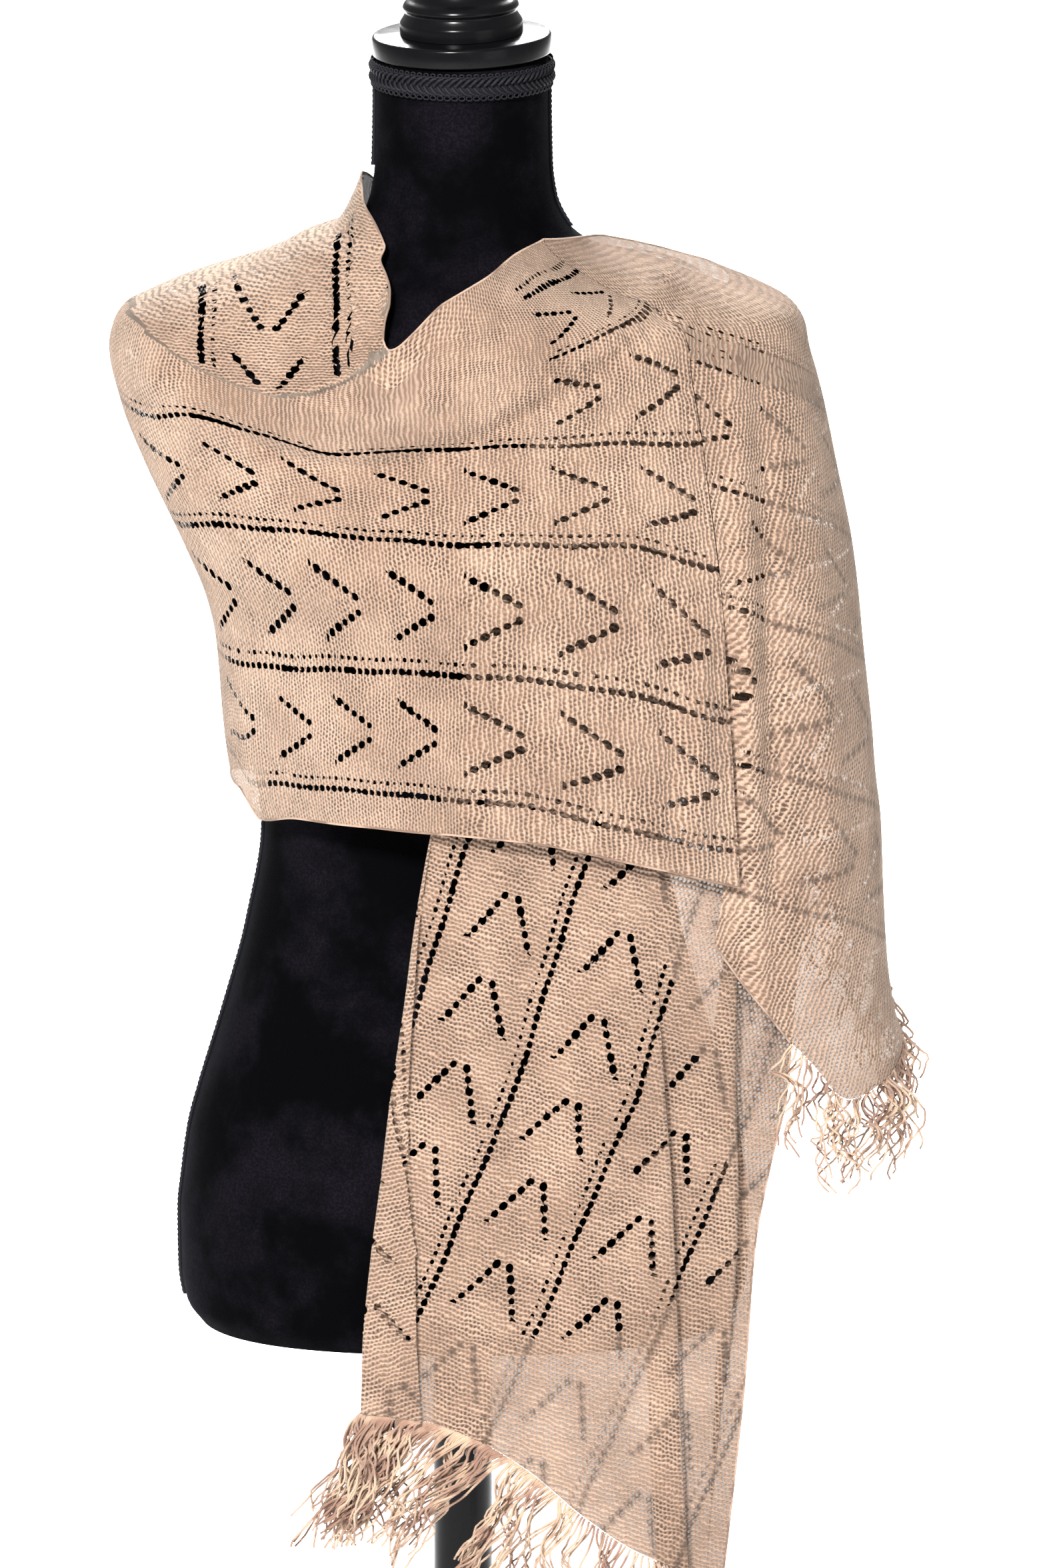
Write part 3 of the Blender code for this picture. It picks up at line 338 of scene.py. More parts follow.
FALL_FOLDS = (
    Fold((0.010, 1.010), (0.000, 0.840), (-0.010, 0.660), 0.011, 0.0030),
    Fold((0.062, 1.000), (0.040, 0.840), (0.022, 0.650), 0.012, -0.0035),
    Fold((0.092, 1.000), (0.078, 0.800), (0.072, 0.620), 0.012, 0.0040),
)
BACK_FOLDS = (
    Fold((0.060, 1.325), (0.000, 1.280), (-0.120, 1.300), 0.010, 0.0045),
    Fold((0.070, 1.290), (0.010, 1.220), (-0.110, 1.225), 0.011, 0.0050),
    Fold((0.070, 1.240), (0.010, 1.150), (-0.100, 1.140), 0.011, 0.0045),
    Fold((0.060, 1.180), (0.010, 1.080), (-0.100, 1.060), 0.011, 0.0040),
)


def column(rows, name):
    """One column of a table."""
    return np.array([getattr(row, name) for row in rows])


def eased(rows, key, name, at):
    """A column of a table between its rows, without overshoot."""
    keys, values = column(rows, key), column(rows, name)
    at = np.clip(at, keys[0], keys[-1])
    step = np.diff(keys)
    rise = np.diff(values) / step
    both = rise[:-1] + rise[1:]
    agree = rise[:-1] * rise[1:] > 0
    slope = np.concatenate([rise[:1], np.zeros(len(both)), rise[-1:]])
    slope[1:-1][agree] = 2 * rise[:-1][agree] * rise[1:][agree] / both[agree]
    i = np.clip(np.searchsorted(keys, at) - 1, 0, len(step) - 1)
    f = (at - keys[i]) / step[i]
    g = 1 - f
    start = values[i] * g * g * (1 + 2 * f) + slope[i] * step[i] * f * g * g
    end = values[i + 1] * f * f * (3 - 2 * f) - slope[i + 1] * step[i] * f * f * g
    return start + end


def along(rows, name, u):
    """A column of a table whose rows stand at equal steps from 0 to 1."""
    steps = np.linspace(0, 1, len(rows))
    Row = namedtuple("Row", "step value")
    table = [Row(s, value) for s, value in zip(steps, column(rows, name))]
    return eased(table, "step", "value", u)


def blend(low, high, at):
    """0 below low, 1 above high, and smooth between."""
    f = np.clip((at - low) / (high - low), 0, 1)
    return f * f * (3 - 2 * f)


def oval(angle, half, front, back, height):
    """Points round an oval with its own depth to the front and the back."""
    ahead = np.cos(angle)
    depth = np.where(ahead > 0, front, back)
    fullness = OVAL * np.clip(1 - depth / half, 0, 0.4)
    y = -depth * ahead * (1 + fullness * np.sin(angle) ** 2)
    return np.stack([half * np.sin(angle), y, height], -1)


def form_point(angle, height):
    """The dress form's skin."""
    half = eased(FORM, "height", "half", height)
    front = eased(FORM, "height", "front", height)
    back = eased(FORM, "height", "back", height)
    return oval(angle, half, front, back, height)


def drape_point(angle, height):
    """The outer cloth's surface without its folds."""
    side = np.where(
        np.sin(angle) < 0,
        eased(DRAPE, "height", "right", height),
        eased(DRAPE, "height", "left", height),
    )
    front = eased(DRAPE, "height", "front", height)
    back = eased(DRAPE, "height", "back", height)
    return oval(angle, side, front, back, height)


def moved_out(surface, angle, height, distance):
    """Points of a surface moved along its own normal."""
    small_angle, small_height = 0.02, 0.002
    round_it = surface(angle + small_angle, height) - surface(angle - small_angle, height)
    up_it = surface(angle, height + small_height) - surface(angle, height - small_height)
    normal = np.cross(round_it, up_it)
    normal /= np.linalg.norm(normal, axis=-1, keepdims=True)
    return surface(angle, height) + normal * np.asarray(distance)[..., None]


def fold_lift(folds, x, z):
    """How far the folds lift the cloth at a place seen from the front."""
    lift = np.zeros_like(x)
    t = np.linspace(0, 1, 41)[:, None]
    for fold in folds:
        start, bend, end = (np.array(p) for p in (fold.start, fold.bend, fold.end))
        line = start * (1 - t) ** 2 + 2 * bend * t * (1 - t) + end * t**2
        away = np.hypot(x[..., None] - line[:, 0], z[..., None] - line[:, 1])
        nearest = away.argmin(-1)
        fade = np.sin(np.pi * np.clip(t[nearest, 0], 0.06, 0.94)) ** 0.5
        lift += fold.height * fade * np.exp(-((away.min(-1) / fold.width) ** 2))
    return lift


def turn_heights(angle):
    """The heights of the lines at an angle in degrees, the top edge first."""
    names = Turn._fields[1:]
    return np.stack([eased(TURNS, "angle", name, angle) for name in names], -1)


def wound_point(degrees, line):
    """The stretch that is wound round the back, right side and chest."""
    heights = turn_heights(degrees)
    whole = np.clip(np.floor(line).astype(int), 0, LINES - 2)
    low = np.take_along_axis(heights, whole[..., None], -1)[..., 0]
    high = np.take_along_axis(heights, whole[..., None] + 1, -1)[..., 0]
    height = low + (high - low) * (line - whole)
    angle = np.radians(degrees)
    flat = drape_point(angle, height)
    front_lift = fold_lift(CHEST_FOLDS, flat[..., 0], height) * (np.cos(angle) > 0)
    back_lift = fold_lift(BACK_FOLDS, flat[..., 0], height) * (np.cos(angle) < 0)
    lift = front_lift + back_lift
    under_wing = np.minimum(eased(FALL_INSET, "height", "depth", height), UNDER_WING)
    lift -= under_wing * blend(*UNDER_WING_TURN, degrees)
    turns = [blend(*turn, degrees) for turn in LOWER_CHEST_TURNS]
    lift -= LOWER_CHEST * math.prod(turns) * blend(*LOWER_CHEST_HEIGHT, height)
    return moved_out(drape_point, angle, height, lift)


def wing_point(u, v):
    """The left wing: u goes from the chest to end B, v from the top edge to the hem."""
    sides = []
    for name in Place._fields:
        top, hem = along(WING_TOP, name, u), along(WING_HEM, name, u)
        seam = np.interp(v, np.linspace(0, 1, LINES), column(WING_SEAM, name))
        end = along(WING_END, name, v)
        corners = (WING_TOP[0], WING_TOP[-1], WING_HEM[0], WING_HEM[-1])
        a, b, c, d = column(corners, name)
        flat = (a * (1 - u) + b * u) * (1 - v) + (c * (1 - u) + d * u) * v
        sides.append(top * (1 - v) + hem * v + seam * (1 - u) + end * u - flat)
    degrees, height = sides
    angle = np.radians(degrees)
    flat = drape_point(angle, height)
    lift = fold_lift(WING_FOLDS, flat[..., 0], height) * (np.cos(angle) > 0)
    lift -= LOWER_CHEST * blend(*WING_START_TURN, degrees) * blend(*WING_START_HEIGHT, height)
    crest = 1 - WING_CREST_EASE * blend(*WING_CREST, height)
    lift += WING_OVER * blend(*WING_OVER_TURN, degrees) * crest
    return moved_out(drape_point, angle, height, lift)


def fall_sections(height):
    """End A across at one height: each station's place across and depth behind the face."""
    at = {name: eased(FALL, "height", name, height) for name in Fall._fields[1:]}
    fold, crease = at["fold"], at["fold"] + np.maximum(at["strip"], 0.0008)
    turned = blend(0.0, 0.004, at["strip"])
    plain = fold + STRIP_EDGE
    stations = [
        (crease, -STRIP_OUT * turned),
        ((fold + crease) / 2, -1.08 * STRIP_OUT * turned),
        (fold + 0.0015 * turned, -0.88 * STRIP_OUT * turned),
        (fold - 0.0006 * turned - 0.0001, -0.48 * STRIP_OUT * turned),
        (fold + 0.0010, 0.08 * STRIP_OUT * turned),
    ]
    for i in range(PLAIN_CELLS):
        stations.append((plain + (at["pleat1"] - plain) * i / PLAIN_CELLS, 0.0))
    depth = 0.0
    for line, tuck, after in (("pleat1", "tuck1", "pleat2"), ("pleat2", "tuck2", "side")):
        line, tuck, after = at[line], at[tuck], at[after]
        full = blend(0.0, 0.004, tuck)
        step = PLEAT_STEP * blend(0.0, 0.010, tuck)
        stations += [
            (line - 0.0015, depth),
            (line + PLEAT_LIP * full, depth + 0.22 * step),
            (line - PLEAT_LIP * full, depth + 0.42 * step),
            (line - (tuck + PLEAT_LEAST) * full, depth + 0.68 * step),
            (line + PLEAT_PLAIN, depth + step),
        ]
        for i in (1, 2):
            beyond = (after - line - PLEAT_PLAIN - PLEAT_LEAST) * i / 3
            stations.append((line + PLEAT_PLAIN + beyond, depth + step))
        depth = depth + step
    stations.append((at["side"], depth))
    across = np.stack([s[0] for s in stations], -1)
    behind = np.stack([s[1] * np.ones_like(height) for s in stations], -1)
    return across, behind


FALL_STATIONS = fall_sections(np.array([0.9]))[0].shape[-1]


def fall_surface(across, height, behind):
    """Points of end A at a place across and a height, behind the front face."""
    side = eased(DRAPE, "height", "left", height)
    half = np.where(across < 0, FALL_HALF, side)
    angle = np.arcsin(np.clip(across / half, -0.98, 0.99998))
    lift = fold_lift(FALL_FOLDS, across, height)
    inset = eased(FALL_INSET, "height", "depth", height)

    def surface(a, h):
        wide = np.where(across < 0, FALL_HALF, eased(DRAPE, "height", "left", h))
        front = eased(DRAPE, "height", "front", h)
        back = eased(DRAPE, "height", "back", h)
        return oval(a, wide, front, back, h)

    return moved_out(surface, angle, height, lift - inset - behind)


def fall_point(station, q):
    """End A: station counts across, q goes from the shoulder (0) to the hem (1)."""
    index = np.round(station).astype(int)
    share = index / (FALL_STATIONS - 1)
    crest = turn_heights(BACK_START)
    top = crest[0] + (crest[-1] - crest[0]) * share**CREST_CURVE
    crest_across = eased(DRAPE, "height", "left", top)

    def place(height):
        across, behind = fall_sections(height)
        here = np.take_along_axis(across, index[..., None], -1)[..., 0]
        depth = np.take_along_axis(behind, index[..., None], -1)[..., 0]
        return here + (crest_across - here) * blend(CREST_SPREAD, 0, q), depth

    height = top
    for _ in range(3):
        here, _ = place(height)
        height = top + (eased(FALL_HEM, "across", "height", here) - top) * q
    here, depth = place(height)
    return fall_surface(here, height, depth)


# The knit's own sizes: the plain borders, and the panels between eyelet lines.
BORDER = 0.021
PANEL = 0.070
PANELS = 5
WIDTH = 2 * BORDER + PANELS * PANEL
UV_SCALE = 4.0

# Cloth of a smaller eyelet scale than this has no eyelets.
LEAST_SCALE = 0.1

# Where end A's third eyelet line runs, seen from the front, and its panels' spacing.
LinePlace = namedtuple("LinePlace", "height across")
FALL_LINE = (
    LinePlace(0.540, -0.1080),
    LinePlace(0.7235, -0.0274),
    LinePlace(0.8571, 0.0284),
    LinePlace(1.0003, 0.0726),
    LinePlace(1.400, 0.1900),
)
FALL_LINE_NUMBER = 3
FALL_PANEL = 0.0735
FALL_TILT = math.radians(20)

# End A's rows: the share that other cloth hides, its rows, the length of the rest,
# the first row past the shoulder, the station of the fold, and where eyelets begin.
HIDDEN_SHARE = 0.40
HIDDEN_ROWS = 50
SHOWN_LENGTH = 0.45
PAST_SHOULDER = 60
FOLD_STATION = 3
EYELETS_FROM = 0.36

# A strand's size, how far under the hem it starts, and how many curl together.
STRAND_RADIUS = 0.0008
STRAND_SIDES = 4
STRAND_TAPER = 0.8
STRAND_START = 0.0004
STRANDS_A_LOCK = 5
SIDE_STRANDS = 260

# How far strands wave aside, forward and down: as a lock, each alone, and finely.
LOCK_WAVE = np.array((0.0070, 0.0050, 0.0024))
OWN_WAVE = np.array((0.0034, 0.0026, 0.0014))
FINE_WAVE = 0.0006 * np.array((1.0, 0.8, 0.4))

# Front fringe strands by their place across: how they lean, how long and how thick set.
Bundle = namedtuple("Bundle", "across lean forward length gap")
FRONT_BUNDLES = (
    Bundle(-0.070, -0.012, -0.006, 0.078, 0.0006),
    Bundle(-0.040, -0.026, -0.008, 0.074, 0.0006),
    Bundle(-0.010, -0.052, -0.012, 0.058, 0.0009),
    Bundle(0.040, -0.050, -0.010, 0.070, 0.0011),
    Bundle(0.080, -0.012, -0.006, 0.085, 0.0022),
    Bundle(0.170, 0.004, -0.003, 0.075, 0.0030),
)


class StoleSettings(bpy.types.PropertyGroup):
    """Sizes and colours of the stole."""

    cell: bpy.props.FloatProperty(
        name="Cell", description="Mesh cell of the knit", default=0.0018, unit="LENGTH"
    )
    eyelet_pitch: bpy.props.FloatProperty(
        name="Eyelet pitch", description="Step along an eyelet line", default=0.0056, unit="LENGTH"
    )
    eyelet_length: bpy.props.FloatProperty(
        name="Eyelet length", description="Along the stole", default=0.0050, unit="LENGTH"
    )
    eyelet_height: bpy.props.FloatProperty(
        name="Eyelet height", description="Across the stole", default=0.0040, unit="LENGTH"
    )
    small_eyelet: bpy.props.FloatProperty(
        name="Small eyelet",
        description="Size in the second row of a line",
        default=0.0025,
        unit="LENGTH",
    )
    small_offset: bpy.props.FloatProperty(
        name="Second row",
        description="Distance of a line's second row",
        default=0.0064,
        unit="LENGTH",
    )
    arrow_pitch: bpy.props.FloatProperty(
        name="Arrowhead pitch",
        description="Step from arrowhead to arrowhead",
        default=0.053,
        unit="LENGTH",
    )
    arrow_step: bpy.props.FloatProperty(
        name="Arrowhead step",
        description="Step along the stole in an arm",
        default=0.0062,
        unit="LENGTH",
    )
    arrow_eyelets: bpy.props.IntProperty(
        name="Arm eyelets", description="Eyelets in one arm of an arrowhead", default=6
    )
    arrow_angle: bpy.props.FloatProperty(
        name="Arm angle",
        description="Angle between arm and stole",
        default=math.radians(26),
        subtype="ANGLE",
    )
    # The knit's tone runs between these two colours, by random tone and by painted light on the raised
    # stitches.
    yarn: bpy.props.FloatVectorProperty(
        name="Yarn",
        description="Light side of the yarn",
        default=(0.480, 0.325, 0.235),
        subtype="COLOR",
    )
    yarn_dark: bpy.props.FloatVectorProperty(
        name="Dark yarn",
        description="Dark side of the yarn",
        default=(0.200, 0.120, 0.078),
        subtype="COLOR",
    )
    # Painted shade: the colour of the pits between the stitches.
    pit_shade: bpy.props.FloatVectorProperty(
        name="Pits",
        description="Shade between the stitches",
        default=(0.050, 0.028, 0.017),
        subtype="COLOR",
    )
    row: bpy.props.FloatProperty(
        name="Row", description="Height of a knitted row", default=0.0027, unit="LENGTH"
    )
    stitch: bpy.props.FloatProperty(
        name="Stitch", description="Width of a stitch", default=0.0026, unit="LENGTH"
    )
    straw: bpy.props.FloatVectorProperty(
        name="Fringe",
        description="Straw colour of the fringe",
        default=(0.45, 0.315, 0.215),
        subtype="COLOR",
    )
    rose: bpy.props.FloatVectorProperty(
        name="Fringe end",
        description="Pinkish brown strands",
        default=(0.25, 0.140, 0.095),
        subtype="COLOR",
    )


class FormSettings(bpy.types.PropertyGroup):
    """Sizes and colours of the dress form."""

    velvet: bpy.props.FloatVectorProperty(
        name="Velvet",
        description="Colour of the pile",
        default=(0.0008, 0.0007, 0.0010),
        subtype="COLOR",
    )
    velvet_sheen: bpy.props.FloatProperty(
        name="Velvet sheen", description="Strength of the sheen", default=0.012, min=0, max=1
    )
    cord_pitch: bpy.props.FloatProperty(
        name="Cord pitch", description="One turn of the twisted piping", default=0.0062, unit="LENGTH"
    )
    loop_pitch: bpy.props.FloatProperty(
        name="Braid pitch", description="Step between loops of the braid", default=0.0043, unit="LENGTH"
    )
    wood: bpy.props.FloatVectorProperty(
        name="Lacquer",
        description="Colour of the turned pieces",
        default=(0.0020, 0.0020, 0.0024),
        subtype="COLOR",
    )


class StageSettings(bpy.types.PropertyGroup):
    """The camera and the lights."""

    elevation: bpy.props.FloatProperty(
        name="Camera elevation",
        description="Above the horizon",
        default=math.radians(13),
        subtype="ANGLE",
    )
    distance: bpy.props.FloatProperty(
        name="Camera distance", description="From the stole", default=14.0, unit="LENGTH"
    )
    view_height: bpy.props.FloatProperty(
        name="View height", description="Height of the picture at the stole", default=0.93, unit="LENGTH"
    )
    key_power: bpy.props.FloatProperty(
        name="Key light", description="Power of the large front light", default=620.0, unit="POWER"
    )
    world: bpy.props.FloatProperty(
        name="Surroundings", description="Brightness of the pale surroundings", default=0.45
    )
    floor: bpy.props.FloatVectorProperty(
        name="Floor", description="Colour of the floor", default=(0.97, 0.97, 0.97), subtype="COLOR"
    )


def across_of(line):
    """Metres across the stole at a line number."""
    return np.interp(line, (0, 1, LINES - 2, LINES - 1), (0, BORDER, WIDTH - BORDER, WIDTH))


def line_of(t):
    """The line number at metres across the stole."""
    return np.interp(t, (0, BORDER, WIDTH - BORDER, WIDTH), (0, 1, LINES - 2, LINES - 1))


def lengths_along(points, axis):
    """Running length along one axis of a grid of points."""
    steps = np.linalg.norm(np.diff(points, axis=axis), axis=-1)
    run = np.cumsum(steps, axis=axis)
    start = np.zeros_like(np.take(run, [0], axis=axis))
    return np.concatenate([start, run], axis=axis)


# Lengths along the middle of the wound stole at steps of its angle.
RUN_STEPS = 900
MIDDLE_LINE = (LINES - 1) / 2
RUN_ANGLES = np.linspace(BACK_START, TURNS[-1].angle, RUN_STEPS)
RUN_LENGTHS = lengths_along(wound_point(RUN_ANGLES, np.full(RUN_STEPS, MIDDLE_LINE)), 0)


def hashed(a, b):
    """A steady share from 0 to 1 for each pair of whole numbers."""
    return np.mod(np.sin(a * 12.9898 + b * 78.233) * 43758.5453, 1.0)


def oval_distance(ds, dt, length, height, slant=0.0):
    """Distance to the rim of an oval, negative inside."""
    turned_s = ds * math.cos(slant) + dt * math.sin(slant)
    turned_t = dt * math.cos(slant) - ds * math.sin(slant)
    rim = np.hypot(turned_s / (length / 2), turned_t / (height / 2)) - 1
    return rim * np.minimum(length, height) / 2


def eyelet_distance(s, t, sizes, scale):
    """Distance to the rim of the nearest eyelet of the chart, negative inside."""
    pitch = sizes.eyelet_pitch
    best = np.full_like(s, 1.0)
    wander = 0.0005 * np.sin(s * 95.0) + 0.0004 * np.sin(s * 41.0 + 1.3)
    for line in range(1, LINES - 1):
        place = t - across_of(line) + wander
        number = np.round(s / pitch)
        size = (0.84 + 0.28 * hashed(number, line)) * scale
        offset = s - number * pitch
        big = oval_distance(offset, place, sizes.eyelet_length * size, sizes.eyelet_height * size)
        number = np.floor(s / pitch)
        offset = s - (number + 0.5) * pitch
        size = (0.75 + 0.5 * hashed(number, line + 20)) * scale
        small = oval_distance(
            offset, place + sizes.small_offset, sizes.small_eyelet * size * 1.2, sizes.small_eyelet * size
        )
        best = np.minimum(best, np.minimum(big, small))
    panel = np.floor((t - BORDER) / PANEL)
    middle = t - BORDER - (panel + 0.5) * PANEL + wander
    arrow = np.floor(s / sizes.arrow_pitch)
    along_arrow = s - arrow * sizes.arrow_pitch
    count = sizes.arrow_eyelets
    number = np.clip(np.round(along_arrow / sizes.arrow_step), 0, count - 1)
    place = 0.0042 + (count - 1 - number) * sizes.arrow_step * math.tan(sizes.arrow_angle)
    size = (0.92 + 0.35 * hashed(number + 11 * arrow, panel + np.sign(middle) * 3)) * scale
    lean = np.where(middle > 0, 1.0, -1.0)
    arms = oval_distance(
        along_arrow - number * sizes.arrow_step,
        lean * (middle - lean * place),
        sizes.eyelet_length * size,
        sizes.eyelet_height * size,
        math.radians(-18),
    )
    inside = (panel >= 0) & (panel < PANELS)
    return np.where(inside, np.minimum(best, arms), best)


def cut_lace(points, s, t, sizes, scale):
    """Snaps a grid to the rims of the eyelets and leaves their cells out.

    Returns the moved points, their cloth coordinates, normals and the faces.
    """
    step_i, step_j = np.gradient(points, axis=0), np.gradient(points, axis=1)
    normals = np.cross(step_i, step_j)
    normals /= np.maximum(np.linalg.norm(normals, axis=-1, keepdims=True), 1e-12)
    s_i, s_j = np.gradient(s)
    t_i, t_j = np.gradient(t)
    away = np.where(scale > LEAST_SCALE, eyelet_distance(s, t, sizes, scale), 1.0)
    small = 0.00005
    steps = ((small, 0), (-small, 0), (0, small), (0, -small))
    beside = [eyelet_distance(s + a, t + b, sizes, scale) for a, b in steps]
    slope_s = (beside[0] - beside[1]) / (2 * small)
    slope_t = (beside[2] - beside[3]) / (2 * small)
    steep = np.maximum(slope_s**2 + slope_t**2, 0.05)
    cell = np.maximum(np.hypot(s_i, t_i), np.hypot(s_j, t_j))
    near = np.abs(away) / np.sqrt(steep) < 0.55 * cell
    move_s = np.where(near, -away * slope_s / steep, 0)
    move_t = np.where(near, -away * slope_t / steep, 0)
    turn = s_i * t_j - s_j * t_i
    turn = np.where(np.abs(turn) < 1e-12, 1e-12, turn)
    move_i = np.clip((move_s * t_j - move_t * s_j) / turn, -0.6, 0.6)
    move_j = np.clip((move_t * s_i - move_s * t_i) / turn, -0.6, 0.6)
    points = points + move_i[..., None] * step_i + move_j[..., None] * step_j
    s, t = s + move_s, t + move_t
    away = np.where(near, 0.0, away).ravel()
    rows, columns = s.shape
    index = np.arange(rows * columns).reshape(rows, columns)
    quads = np.stack([index[:-1, :-1], index[1:, :-1], index[1:, 1:], index[:-1, 1:]], -1).reshape(-1, 4)
    corners = away[quads]
    flat_s, flat_t = s.ravel(), t.ravel()
    flat_scale = np.where(scale > LEAST_SCALE, scale, 0.01).ravel()
    centre = eyelet_distance(flat_s[quads].mean(1), flat_t[quads].mean(1), sizes, flat_scale[quads].min(1))
    gone = (corners.max(1) <= 0) & (centre < 0)
    mixed = (corners.min(1) < 0) & (corners.max(1) > 0)
    keep = quads[~gone & ~mixed]
    split = quads[mixed]
    values = corners[mixed]
    turned = (np.abs(values[:, 1]) + np.abs(values[:, 3])) < (np.abs(values[:, 0]) + np.abs(values[:, 2]))
    split = np.where(turned[:, None], np.roll(split, -1, axis=1), split)
    triangles = np.concatenate([split[:, [0, 1, 2]], split[:, [0, 2, 3]]])
    triangles = triangles[away[triangles].mean(1) > 0]
    faces = [*keep.tolist(), *triangles.tolist()]
    return points.reshape(-1, 3), flat_s, flat_t, normals.reshape(-1, 3), faces


def add_piece(name, points, faces, material, nodes=(), uv=None, normals=None):
    """A mesh object that rides on the frame and stands for the given nodes."""
    mesh = bpy.data.meshes.new(name)
    mesh.from_pydata(np.asarray(points).tolist(), [], faces if isinstance(faces, list) else faces.tolist())
    if uv is not None:
        layer = mesh.uv_layers.new(name="cloth")
        loops = np.zeros(len(mesh.loops), np.int32)
        mesh.loops.foreach_get("vertex_index", loops)
        layer.data.foreach_set("uv", np.asarray(uv, np.float32)[loops].ravel())
    mesh.shade_smooth()
    if normals is not None:
        mesh.normals_split_custom_set_from_vertices(np.asarray(normals).tolist())
    obj = bpy.data.objects.new(name, mesh)
    bpy.context.scene.collection.objects.link(obj)
    obj.data.materials.append(material)
    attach(obj, "root")
    if nodes:
        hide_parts(*nodes)
    return obj


def tubes(paths, radius, sides, taper=1.0, ref=(0.0, 1.0, 0.0)):
    """Points and faces of closed tubes along paths, an array of (tube, step, xyz)."""
    count, steps = paths.shape[:2]
    ahead = np.gradient(paths, axis=1)
    ahead /= np.maximum(np.linalg.norm(ahead, axis=-1, keepdims=True), 1e-9)
    side = np.cross(ahead, np.asarray(ref))
    side /= np.maximum(np.linalg.norm(side, axis=-1, keepdims=True), 1e-9)
    other = np.cross(ahead, side)
    turn = np.arange(sides) * 2 * math.pi / sides
    size = np.broadcast_to(np.asarray(radius, float), (count, steps)) * np.linspace(1, taper, steps)
    ring = side[:, :, None] * np.cos(turn)[:, None] + other[:, :, None] * np.sin(turn)[:, None]
    points = paths[:, :, None] + ring * size[..., None, None]
    index = np.arange(count * steps * sides).reshape(count, steps, sides)
    around = np.roll(index, -1, axis=2)
    quads = np.stack([index[:, :-1], index[:, 1:], around[:, 1:], around[:, :-1]], -1).reshape(-1, 4)
    faces = quads.tolist() + index[:, 0, ::-1].tolist() + index[:, -1].tolist()
    return points.reshape(-1, 3), faces


def joined(parts):
    """Several (points, faces) as one."""
    points, faces, start = [], [], 0
    for some_points, some_faces in parts:
        points.append(some_points)
        faces += [[corner + start for corner in face] for face in some_faces]
        start += len(some_points)
    return np.concatenate(points), faces


def node(tree, kind, inputs=(), **settings):
    """A shader node with its settings, and values or links on its inputs."""
    made = tree.nodes.new(kind)
    for key, value in settings.items():
        setattr(made, key, value)
    for key, value in dict(inputs).items():
        if isinstance(value, bpy.types.NodeSocket):
            tree.links.new(value, made.inputs[key])
        else:
            made.inputs[key].default_value = value
    return made


def maths(tree, operation, *values):
    """The result of a sum on values or sockets."""
    return node(tree, "ShaderNodeMath", dict(enumerate(values)), operation=operation).outputs[0]


def noise(tree, scale, detail=2.0, roughness=0.5):
    """Unevenness from 0 to 1 that is fixed to the piece."""
    place = node(tree, "ShaderNodeTexCoord").outputs["Object"]
    inputs = {"Vector": place, "Scale": scale, "Detail": detail, "Roughness": roughness}
    return node(tree, "ShaderNodeTexNoise", inputs).outputs["Fac"]


def mixed_colour(tree, factor, a, b):
    """A mix of two colours, each given or from a socket, by a factor from a socket."""
    made = node(tree, "ShaderNodeMix", data_type="RGBA")
    factor_socket, a_socket, b_socket = (made.inputs[i] for i in (0, 6, 7))
    tree.links.new(factor, factor_socket)
    for socket, value in ((a_socket, a), (b_socket, b)):
        if isinstance(value, bpy.types.NodeSocket):
            tree.links.new(value, socket)
        else:
            socket.default_value = (*value, 1.0)
    return made.outputs[2]


def ranged(tree, value, low, high, to_low=0.0, to_high=1.0):
    """A value eased from one range to another."""
    inputs = {"Value": value, "From Min": low, "From Max": high, "To Min": to_low, "To Max": to_high}
    return node(tree, "ShaderNodeMapRange", inputs, interpolation_type="SMOOTHSTEP").outputs["Result"]


def waved(tree, count):
    """A crest of 1 at each whole number and 0 midway."""
    turn = maths(tree, "MULTIPLY", count, 2 * math.pi)
    return maths(tree, "MULTIPLY_ADD", maths(tree, "COSINE", turn), 0.5, 0.5)


def bumps(tree, shader, height, strength, distance):
    """Relief on a shader."""
    bump = node(tree, "ShaderNodeBump", {"Height": height, "Strength": strength, "Distance": distance})
    tree.links.new(bump.outputs[0], shader.inputs["Normal"])


def new_material(name):
    """A material with its node tree and its shader."""
    material = bpy.data.materials.new(name)
    material.use_nodes = True
    return material, material.node_tree, material.node_tree.nodes["Principled BSDF"]


